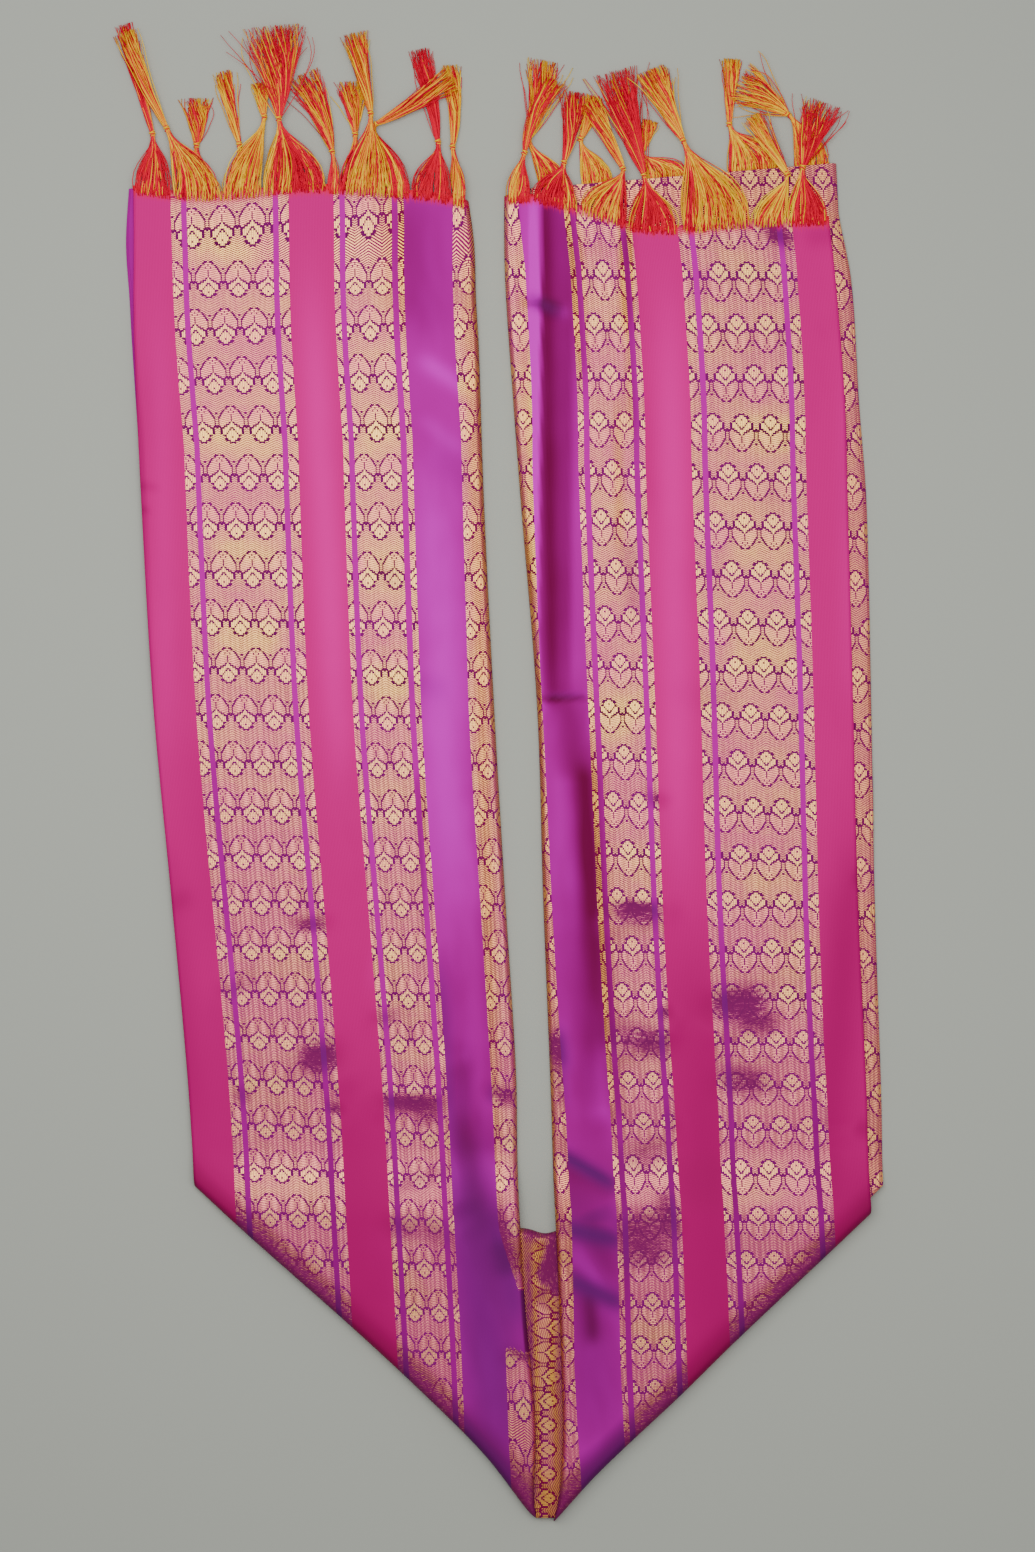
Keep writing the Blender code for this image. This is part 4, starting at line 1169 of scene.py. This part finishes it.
# %% Colours of silk and gilt thread
# MAGENTA, MAGENTA_RIB, VIOLET and THIN_PURPLE are the silk's own colours. The LIT colours are
# painted light. The SHADE, LOW and BLUE colours and the dark purple of shaded brocade are painted
# shade.
MAGENTA = (0.61, 0.0, 0.205)
MAGENTA_RIB = (0.50, 0.0, 0.155)
MAGENTA_LIT = (0.75, 0.0, 0.30)
MAGENTA_LOW = (0.37, 0.0, 0.115)
MAGENTA_SHADE = (0.20, 0.002, 0.055)
VIOLET = (0.42, 0.0, 0.30)
VIOLET_LIT = (0.64, 0.0, 0.55)
VIOLET_SHADE = (0.14, 0.001, 0.045)
VIOLET_BLUE = (0.10, 0.005, 0.12)
THIN_PURPLE = (0.48, 0.0, 0.33)
THIN_LOW = (0.24, 0.0, 0.16)
SHADE_PURPLE = (0.17, 0.008, 0.09)
# Gilt, ground and outlines come in lit and dull copies, painted highlight and painted shade. The
# gold and ground for the dim casts, and the gold that shade hides, are painted shade.
GOLD_LIT = (1.0, 0.57, 0.15)
GOLD_DULL = (0.96, 0.30, 0.22)
GOLD_IN_SHADE = (0.86, 0.43, 0.06)
GOLD_SHADED = (0.30, 0.035, 0.13)
GROUND_LIT = (0.18, 0.0, 0.04)
GROUND_DULL = (0.32, 0.0, 0.16)
GROUND_IN_SHADE = (0.16, 0.0, 0.025)
OUTLINE_LIT = (0.10, 0.0, 0.05)
OUTLINE_DULL = (0.19, 0.0, 0.14)
END_RED = (0.78, 0.0, 0.025)
# Noise that makes the painted light and shade uneven and the cut end ragged: how fine across and
# along, where it starts, its detail and roughness.
Cloud = namedtuple("Cloud", "across along start detail roughness")
BROAD = Cloud(0.010, 0.022, 0.0, 3.0, 0.55)
FINE = Cloud(0.16, 0.16, 0.0, 2.0, 0.5)
STREAKY = Cloud(0.16, 0.80, 0.0, 3.0, 0.7)
RAVEL = Cloud(1.6, 0.05, 0.0, 1.0, 0.5)
CLOUDY = Cloud(0.03, 0.012, 3.0, 2.0, 0.5)
RIB_PITCH = 1.15
# Threads that wander past the cut end, in mm, and where the worn red of the end starts and is full.
RAVEL_REACH, WORN_START, WORN_FULL = 12.0, 9.5, 3.0

print("Finest unevenness, in mm along the cloth:", round(1 / STREAKY.along, 2))


# %% The silk and gold finish
def woven_finish(name, repeats, shift, extra_shade=0.0):
    """The whole cloth's finish. shift moves its unevenness, so that no two pieces match. The last
    argument adds painted shade all over.
    """
    finish = Finish(name)
    across, along, from_end = finish.attribute("loom")
    shade, slope_light, dim = finish.attribute("light")
    # More painted shade all over, for silk that lies under other cloth.
    dim = dim + extra_shade
    # The second set of numbers holds the blue, lit and low casts: painted shade, painted light and
    # painted shade.
    blue, lit, low = finish.attribute("hue")
    in_brocade, in_magenta, in_violet, in_purple = (
        stripe_mask(across, kind) for kind in ("brocade", "magenta", "violet", "purple"))
    broad, fine, streaky, ravel, cloudy = (
        finish.noise(finish.vector(across * cloud.across, along * cloud.along, cloud.start + shift),
                     cloud.detail, cloud.roughness) - 0.5
        for cloud in (BROAD, FINE, STREAKY, RAVEL, CLOUDY))

    # Painted highlight: how lit the gold and ground are drawn, from noise and the lit casts, less
    # where painted shade lies. More gold floats show where it is high.
    gleam = (broad * 1.6 + 0.26 + fine * 0.5 + lit * 0.85 - dim * 0.5 - low * 0.35).clamped()
    gold, outline, petals, leaves = brocade(finish, across, along, repeats, gleam)
    # Painted shade: creases, dim casts and the turn hide the gold, with ragged edges, and darken it
    # to purple.
    gold_shade = shade.either((dim - 0.45).clamped() * 1.3)
    ragged = (gold_shade * (streaky * 2.0 + 1.0)).clamped()
    hidden_by_shade = ragged.ramp(0.66, 0.92)
    worn_end = (from_end + ravel * RAVEL_REACH).ramp(WORN_START, WORN_FULL)
    gold = gold * in_brocade * (1 - hidden_by_shade) * (1 - worn_end * 0.7)

    ribs = (across * (2 * math.pi / RIB_PITCH)).math("SINE")
    # Painted light and painted shade from the cloth's slope and the casts: lilac where it leans to
    # the light, crimson where it leans away.
    lean = (slope_light * 1.6 + cloudy * 0.7 + lit).clamped()
    turned = (slope_light * -1.2 - cloudy * 0.3 + dim).clamped()
    # Painted shade: where the dim casts lie, the gold turns orange and the ground dark maroon.
    dim_shade = dim.ramp(0.08, 0.5)
    magenta = finish.coats(MAGENTA, ((ribs * 0.5 + 0.5) * 0.6, MAGENTA_RIB), (lit, MAGENTA_LIT),
                           (low, MAGENTA_LOW), (turned * 0.75, MAGENTA_SHADE))
    violet = finish.coats(VIOLET, (lean, VIOLET_LIT), (turned, VIOLET_SHADE),
                          (blue.either(shade * 0.9), VIOLET_BLUE))
    thin = finish.coats(THIN_PURPLE, (low, THIN_LOW), (turned, VIOLET_SHADE))
    # The ground between the floats, lit and dull by the painted highlight, and darker in painted
    # shade.
    ground = finish.coats(GROUND_DULL, (gleam, GROUND_LIT),
                          (outline, finish.mix(gleam, OUTLINE_DULL, OUTLINE_LIT)),
                          (dim_shade * 0.85, GROUND_IN_SHADE))
    # Painted shade on the silk: dark purple in the brocade where the gold is hidden, and darker
    # magenta and purple under the creases.
    silk = finish.coats(magenta, (in_violet, violet), (in_purple, thin), (in_brocade, ground),
                        (in_brocade * ragged.ramp(0.2, 0.7) * 0.9, SHADE_PURPLE),
                        (in_magenta * shade * 0.45, MAGENTA_SHADE),
                        (in_purple * shade.clamped() * 0.8, VIOLET_BLUE))
    # The gilt, lit and dull by the painted highlight, orange in painted shade, and purple where
    # painted shade hides it.
    gilt = finish.coats(GOLD_DULL, ((gleam + petals * 0.35 - leaves * 0.2).clamped(), GOLD_LIT),
                        (dim_shade, GOLD_IN_SHADE), (ragged.ramp(0.12, 0.72), GOLD_SHADED))
    shown = finish.coats(silk, (gold, gilt), (worn_end * (0.95 - in_brocade * 0.5), END_RED))

    thread = (along / THREAD_ALONG * (2 * math.pi)).math("SINE") * 0.5
    height = gold * (0.6 + thread * 0.5) + ribs * (1 - in_brocade) * 0.25
    bump = finish.node("ShaderNodeBump",
                       inputs={"Strength": 0.35, "Distance": 0.0003, "Height": height})
    finish.set(Base_Color=shown, Roughness=0.6 - gold * 0.2, Normal=bump.outputs[0],
               Metallic=gold * (0.88 - ragged * 0.6), Specular_IOR_Level=0.04)
    print(name, "has", len(finish.tree.nodes), "nodes")
    return finish.material


# %% Dress the pieces in it
for piece, name, repeats, shift in (
        (faces["left"], "left arm", "left", 0.0), (faces["right"], "right arm", "right", 7.3),
        (cross_face, "cross stretch", "right", 3.1)):
    piece.data.materials.append(woven_finish("zari silk of the " + name, REPEATS[repeats], shift))
# The hidden layers' silk is darkened all over with painted shade.
under_silk = woven_finish("zari silk of the hidden layers", REPEATS["right"], 5.2, 0.25)
for piece in layers.values():
    piece.data.materials.append(under_silk)

# %% [markdown]
# ## Tassels
#
# The warp ends of the cloth are gathered, knotted and left to spread. Each tassel is made as a
# maker would: threads leave the cloth's edge side by side, draw together into a knot with a few
# turns of yarn round it, and fan out again in a slightly frizzy tail. Every thread is a thin
# three-sided tube on a smooth path, so the tail splits into real strands from any side.

# %% Where the tassels hang
Tassel = namedtuple("Tassel", "arm layer yarn x1 x2 knot_x knot_y knot_z tip_x tip_y tip_z spread")
TASSELS = table(Tassel, [
    ("left", "face", "red", -274, -247, -261.0, 478.0, 3.0, -282.7, 558.0, 1.4, 8),
    ("left", "face", "gold", -244, -210, -249.8, 481.0, 6.2, -277.5, 553.5, 3.6, 9),
    ("left", "under", "gold", -242, -216, -228.0, 469.5, 1.9, -229.0, 504.0, 1.2, 17),
    ("left", "under", "red", -206, -186, -195.8, 470.0, 1.9, -207.4, 524.0, 1.2, 9),
    ("left", "face", "gold", -207, -180, -177.0, 490.5, 3.0, -179.0, 516.0, 1.4, 9),
    ("left", "face", "red", -177, -131, -165.8, 488.3, 7.4, -171.8, 556.5, 5.0, 36),
    ("left", "face", "gold", -128, -122, -126.0, 464.3, 4.4, -150.4, 520.5, 2.2, 20),
    ("left", "face", "red", -120, -86, -96.8, 492.0, 7.6, -109.5, 552.0, 3.0, 13),
    ("left", "under", "red", -119, -99, -108.8, 477.8, 1.9, -111.4, 516.7, 1.2, 17),
    ("left", "face", "red", -83, -68, -93.8, 484.5, 3.9, -38.6, 518.2, 6.2, 14),
    ("left", "face", "gold", -65, -38, -46.5, 471.8, 3.2, -60.4, 540.0, 1.4, 12),
    ("left", "face", "red", -35, -27, -35.5, 468.0, 3.2, -40.5, 528.0, 1.4, 9),
    ("right", "face", "gold", 6, 22, 18.4, 463.0, 6.6, 45.7, 513.7, 6.0, 10),
    ("right", "under", "gold", 30, 50, 21.7, 474.0, 2.0, 33.4, 531.7, 1.2, 22),
    ("right", "face", "red", 25, 57, 48.0, 456.0, 4.4, 55.0, 508.0, 3.2, 11),
    ("right", "under", "red", 62, 84, 60.5, 474.0, 1.9, 70.0, 506.0, 1.2, 10),
    ("right", "face", "gold", 61, 94, 92.2, 450.8, 8.2, 67.5, 500.2, 6.6, 9),
    ("right", "face", "red", 97, 132, 108.0, 446.0, 5.6, 87.8, 523.5, 2.6, 26),
    ("right", "under", "red", 112, 140, 106.5, 464.0, 1.9, 112.0, 488.0, 1.2, 8),
    ("right", "face", "gold", 137, 187, 137.5, 471.8, 6.8, 115.5, 525.7, 3.4, 19),
    ("right", "under", "gold", 172, 210, 172.3, 485.2, 2.0, 175.0, 533.2, 1.2, 9),
    ("right", "face", "red", 191, 213, 215.5, 446.5, 8.4, 191.2, 490.5, 7.0, 10),
    ("right", "under", "red", 222, 246, 216.5, 492.5, 2.6, 179.5, 516.0, 4.0, 27),
    ("right", "face", "red", 216, 245, 227.0, 452.0, 6.4, 243.7, 500.2, 2.6, 24),
])
RED_RADIUS, GOLD_RADIUS = 0.33, 0.38
THREAD_PITCH = 0.24
CORD_PITCH = 2.3
LEAST_THREADS = 110
STRAND_SIDES = 3
GATHER_POINTS = 9
TAIL_POINTS = 10
# Turns of yarn round a knot: how far along it, how askew, and how wide.
WRAPS = [(-1.5, 0.25, 1.55), (-0.6, -0.35, 2.0), (0.3, 0.30, 2.15), (1.1, -0.20, 1.95),
         (1.9, 0.30, 1.45)]
WRAP_IS_GOLD = [1, 0, 1, 1, 0]
WRAP_POINTS = 15
WRAP_RADIUS = 0.62

print("Tassels:", len(TASSELS))


# %% Paths of a tassel's threads
UP = np.array((0.0, 0.0, 1.0))
# Least and greatest height of a thread's middle.
LOWEST, HIGHEST = 0.45, 14.0
# How a tail ends: its longest threads, how much shorter others are, and stray ones.
LONGEST, SHORTER, STRAY_SHARE, STRAY_WIDTH = 1.03, 0.28, 0.10, 1.9


def unit(vector):
    return vector / np.linalg.norm(vector)


def bezier(p0, p1, p2, p3, t):
    t = t[None, :, None]
    p0, p1, p2, p3 = (point[:, None, :] for point in (p0, p1, p2, p3))
    return p0 * (1 - t) ** 3 + p1 * 3 * t * (1 - t) ** 2 + p2 * 3 * t * t * (1 - t) + p3 * t ** 3


def thread_roots(tassel, arm, count, chance):
    """Where each thread leaves the cloth, and which threads are gold."""
    x = np.linspace(tassel.x1, tassel.x2, count) + chance.normal(0, 0.7, count)
    if tassel.layer == "under":
        y = curve(arm.under_end, x) - 0.8
        z = 2.0 + chance.uniform(-0.6, 0.6, count)
        return np.stack((x, y, z), axis=-1), chance.uniform(0, 1, count) < 0.5
    y = curve(arm.end, x) - chance.uniform(1.0, 7.5, count)
    selvedge = edge_x(arm, "selvedge", y)
    share = (x - selvedge) / (edge_x(arm, "fold", y) - selvedge)
    z = face_height(arm, np.clip(share, 0, 1), x, y) + 0.25 + chance.uniform(0, 0.35, count)
    across, _ = loom_place(arm, x, y)
    gold = chance.uniform(0, 1, count) < 0.05 + 0.55 * stripe_mask(across, "brocade")
    x = x + np.where(gold, 0.8, 0.0) * (np.round(x / CORD_PITCH) * CORD_PITCH - x)
    return np.stack((x, y, z), axis=-1), gold


def thread_paths(tassel, number):
    """Paths of a tassel's threads from the cloth through the knot to the tip of the tail."""
    arm = LEFT if tassel.arm == "left" else RIGHT
    chance = np.random.default_rng(100 + number)
    count = max(LEAST_THREADS, int(abs(tassel.x2 - tassel.x1) / THREAD_PITCH))
    root, gold = thread_roots(tassel, arm, count, chance)
    knot = np.array((tassel.knot_x, tassel.knot_y, tassel.knot_z))
    tail = np.array((tassel.tip_x, tassel.tip_y, tassel.tip_z)) - knot
    axis = np.array((*tail[:2], 0.0)) / np.hypot(*tail[:2])
    side = np.array((axis[1], -axis[0], 0.0))
    spot = np.sqrt(chance.uniform(0, 1, count))[:, None]
    angle = chance.uniform(0, 2 * math.pi, count)[:, None]

    far = np.linalg.norm(knot - root, axis=1)[:, None]
    rise = np.array((0.0, 1.0, 0.0)) * far * chance.uniform(0.25, 0.62, count)[:, None]
    rise = rise + np.array((1.0, 0.0, 0.3)) * chance.normal(0, 0.07, count)[:, None] * far
    entry = knot + spot * (side * np.cos(angle) * 1.3 + UP * np.sin(angle) * 0.9)
    before = entry - (unit(knot - root.mean(axis=0)) * 0.55 + axis * 0.45) * far * 0.3
    gather = bezier(root, root + rise, before, entry, np.linspace(0, 1, GATHER_POINTS))

    t = ((np.arange(TAIL_POINTS) + 1) / TAIL_POINTS)[None, :]
    reach = LONGEST - SHORTER * chance.uniform(0, 1, count)[:, None] ** 2
    stray = np.where(chance.uniform(0, 1, count) < STRAY_SHARE, STRAY_WIDTH, 1.0)[:, None]
    wide = 1.6 + (0.6 * tassel.spread - 0.6) * t * stray
    bend = chance.normal(0, 0.035) * np.linalg.norm(tail)
    deep = 0.9 + 0.7 * t
    turned = angle + 1.2 * t
    wave = np.sin(t * (9 + 3 * spot) + angle * 3) * 0.7 * t
    wave = wave + chance.normal(0, 0.8, count)[:, None] * t ** 2
    wave = wave + bend * (4 * t * (1 - t) + t ** 2)
    body = knot + (t * reach)[..., None] * tail
    body = body + (spot * wide * np.cos(turned) + wave)[..., None] * side
    body = body + (spot * deep * np.sin(turned))[..., None] * UP
    paths = np.concatenate((gather, body), axis=1)
    paths[..., 2] = np.clip(paths[..., 2], LOWEST, HIGHEST)
    return paths, gold, knot, axis, chance


def knot_paths(knot, axis):
    """Turns of yarn round the knot, each a little askew, so that they cross as tied yarn does."""
    across = np.array((-axis[1], axis[0], 0.0))
    loops = []
    angles = np.linspace(0, 2 * math.pi, WRAP_POINTS)
    for step, tilt, reach in WRAPS:
        loop = knot + np.outer(step + tilt * np.cos(angles) * reach, axis)
        loop = loop + np.outer(np.cos(angles) * reach, across)
        loop[:, 2] += np.sin(angles) * reach * 0.8
        loops.append(loop)
    return np.array(loops)


print("A thread has", GATHER_POINTS, "points before its knot and", TAIL_POINTS, "after it")


# %% Tubes round the paths
def tube_points(paths, radius):
    """Rings of points round every point of every path. radius has one number for each point."""
    forward = np.gradient(paths, axis=1)
    forward /= np.linalg.norm(forward, axis=2, keepdims=True) + 1e-9
    across = np.cross(forward, UP)
    across /= np.linalg.norm(across, axis=2, keepdims=True) + 1e-6
    lift = np.cross(across, forward)
    rings = []
    for k in range(STRAND_SIDES):
        angle = 2 * math.pi * k / STRAND_SIDES + math.pi / 2
        around = across * math.cos(angle) + lift * math.sin(angle)
        rings.append(paths + around * radius[..., None])
    return np.stack(rings, axis=2)


def tube_faces(strands, steps, start):
    """Sides and ends of the tubes, whose points begin at start."""
    faces = []
    for s in range(strands):
        base = start + s * steps * STRAND_SIDES
        for k in range(steps - 1):
            for c in range(STRAND_SIDES):
                d = (c + 1) % STRAND_SIDES
                low, high = base + k * STRAND_SIDES, base + (k + 1) * STRAND_SIDES
                faces.append((low + c, low + d, high + d, high + c))
        faces.append(tuple(base + c for c in reversed(range(STRAND_SIDES))))
        faces.append(tuple(base + (steps - 1) * STRAND_SIDES + c for c in range(STRAND_SIDES)))
    return faces


print("Faces of one thread:", len(tube_faces(1, GATHER_POINTS + TAIL_POINTS, 0)))

# %% Yarn finish
# The yarn glows a little, a painted light that stands in for light let through the silk, so a
# thread is never as dark on its far side as a solid rod.
YARN_PAINTED_GLOW = 0.12
TURNS_A_STEP = 2.2


def yarn_finish(name, base, shade, glint):
    finish = Finish(name)
    strand, along, mixed = finish.attribute("yarn")
    twist = ((along * TURNS_A_STEP) * (2 * math.pi)).math("SINE") * 0.5 + 0.5
    # The shade colour, by twist and by strand, is painted shade, and the glint colour, on some
    # strands, painted highlight.
    body = finish.coats(base, (twist * 0.3 + strand.ramp(0.35, 1.0) * 0.7, shade),
                        (mixed * 0.8, glint))
    # A faint painted glow in the yarn's own colour.
    finish.set(Base_Color=body, Emission_Color=body, Roughness=0.42 + strand * 0.2,
               Emission_Strength=YARN_PAINTED_GLOW, Specular_IOR_Level=0.08)
    print(name, "has", len(finish.tree.nodes), "nodes")
    return finish.material


RED_YARN = yarn_finish("red silk yarn", (0.66, 0.0, 0.026), (0.34, 0.0, 0.013), (0.88, 0.0, 0.05))
GOLD_YARN = yarn_finish("gold silk yarn", (0.88, 0.46, 0.0), (0.50, 0.17, 0.0), (1.0, 0.80, 0.02))

# %% Threads, knots and tails
FLOOR_CLEARANCE = 0.12
# What the yarn of a knot's turns remembers: its strand, which sets its painted shade, and how far
# it is mixed with the painted glint.
WRAP_STRAND, WRAP_MIXED = 0.3, 0.2


def tassel_object(number, tassel):
    paths, gold, knot, axis, chance = thread_paths(tassel, number)
    strands, steps = paths.shape[:2]
    radius = np.where(gold, GOLD_RADIUS, RED_RADIUS)[:, None] * np.linspace(1.15, 0.9, steps)
    radius[:, -2:] *= 0.8
    loops = knot_paths(knot, axis)
    wraps, turns = loops.shape[:2]
    threads = tube_points(paths, radius).reshape(-1, 3)
    knotted = tube_points(loops, np.full((wraps, turns), WRAP_RADIUS)).reshape(-1, 3)
    points = np.concatenate((threads, knotted))
    points[:, 2] = np.maximum(points[:, 2], FLOOR_CLEARANCE)
    faces = tube_faces(strands, steps, 0) + tube_faces(wraps, turns, len(threads))
    made = new_object(f"{tassel.arm}_yarn_tassel_{number:02d}", points, faces)

    def at_points(values, at_knot):
        """One value for each point of every thread, and one for all points of the knot."""
        return np.concatenate((np.ravel(values), np.full(len(knotted), at_knot)))

    each = steps * STRAND_SIDES
    strand = at_points(np.repeat(chance.uniform(0, 1, strands), each), WRAP_STRAND)
    along = at_points(np.tile(np.repeat(np.arange(steps), STRAND_SIDES), strands), 0.0)
    mixed = at_points(np.repeat(chance.uniform(0, 1, strands) ** 2, each), WRAP_MIXED)
    remember(made, yarn=(strand, along, mixed))
    made.data.materials.append(RED_YARN)
    made.data.materials.append(GOLD_YARN)
    is_gold = np.concatenate((np.repeat(gold * 1, (steps - 1) * STRAND_SIDES + 2),
                              np.repeat(WRAP_IS_GOLD, (turns - 1) * STRAND_SIDES + 2)))
    made.data.polygons.foreach_set("material_index", is_gold.astype(np.int32))
    stand_for(made, f"{tassel.arm}_tassel_{number:02d}", tassel.yarn + "_yarn")
    return made


tassels = {"left": [], "right": []}
for number, tassel in enumerate(TASSELS, start=1):
    tassels[tassel.arm].append(tassel_object(number, tassel))
print("Tassels made:", {name: len(made) for name, made in tassels.items()})

# %% [markdown]
# ## The flat cuts of the cloth
#
# The shawl is a sheet of cloth that was woven flat. For each stretch that shows, the size of its
# own flat cut is printed with the share of it that its grid's area fills.

# %% Sheets
SHEETS = {"left": (0.262, 0.99), "right": (0.262, 0.99), "cross": (0.226, 0.45)}
for name, piece in (("left", faces["left"]), ("right", faces["right"]), ("cross", cross_face)):
    width, length = SHEETS[name]
    print(name, "flat", width, length, "area share", round(flat_area[name] / width / length, 3))

# %% [markdown]
# ## The end
#
# The dressed model must stay inside the CAD model's box but for the few millimetres that fabric
# stands proud. The last line brings the view layer up to date.

# %% Finish
bpy.context.view_layer.update()
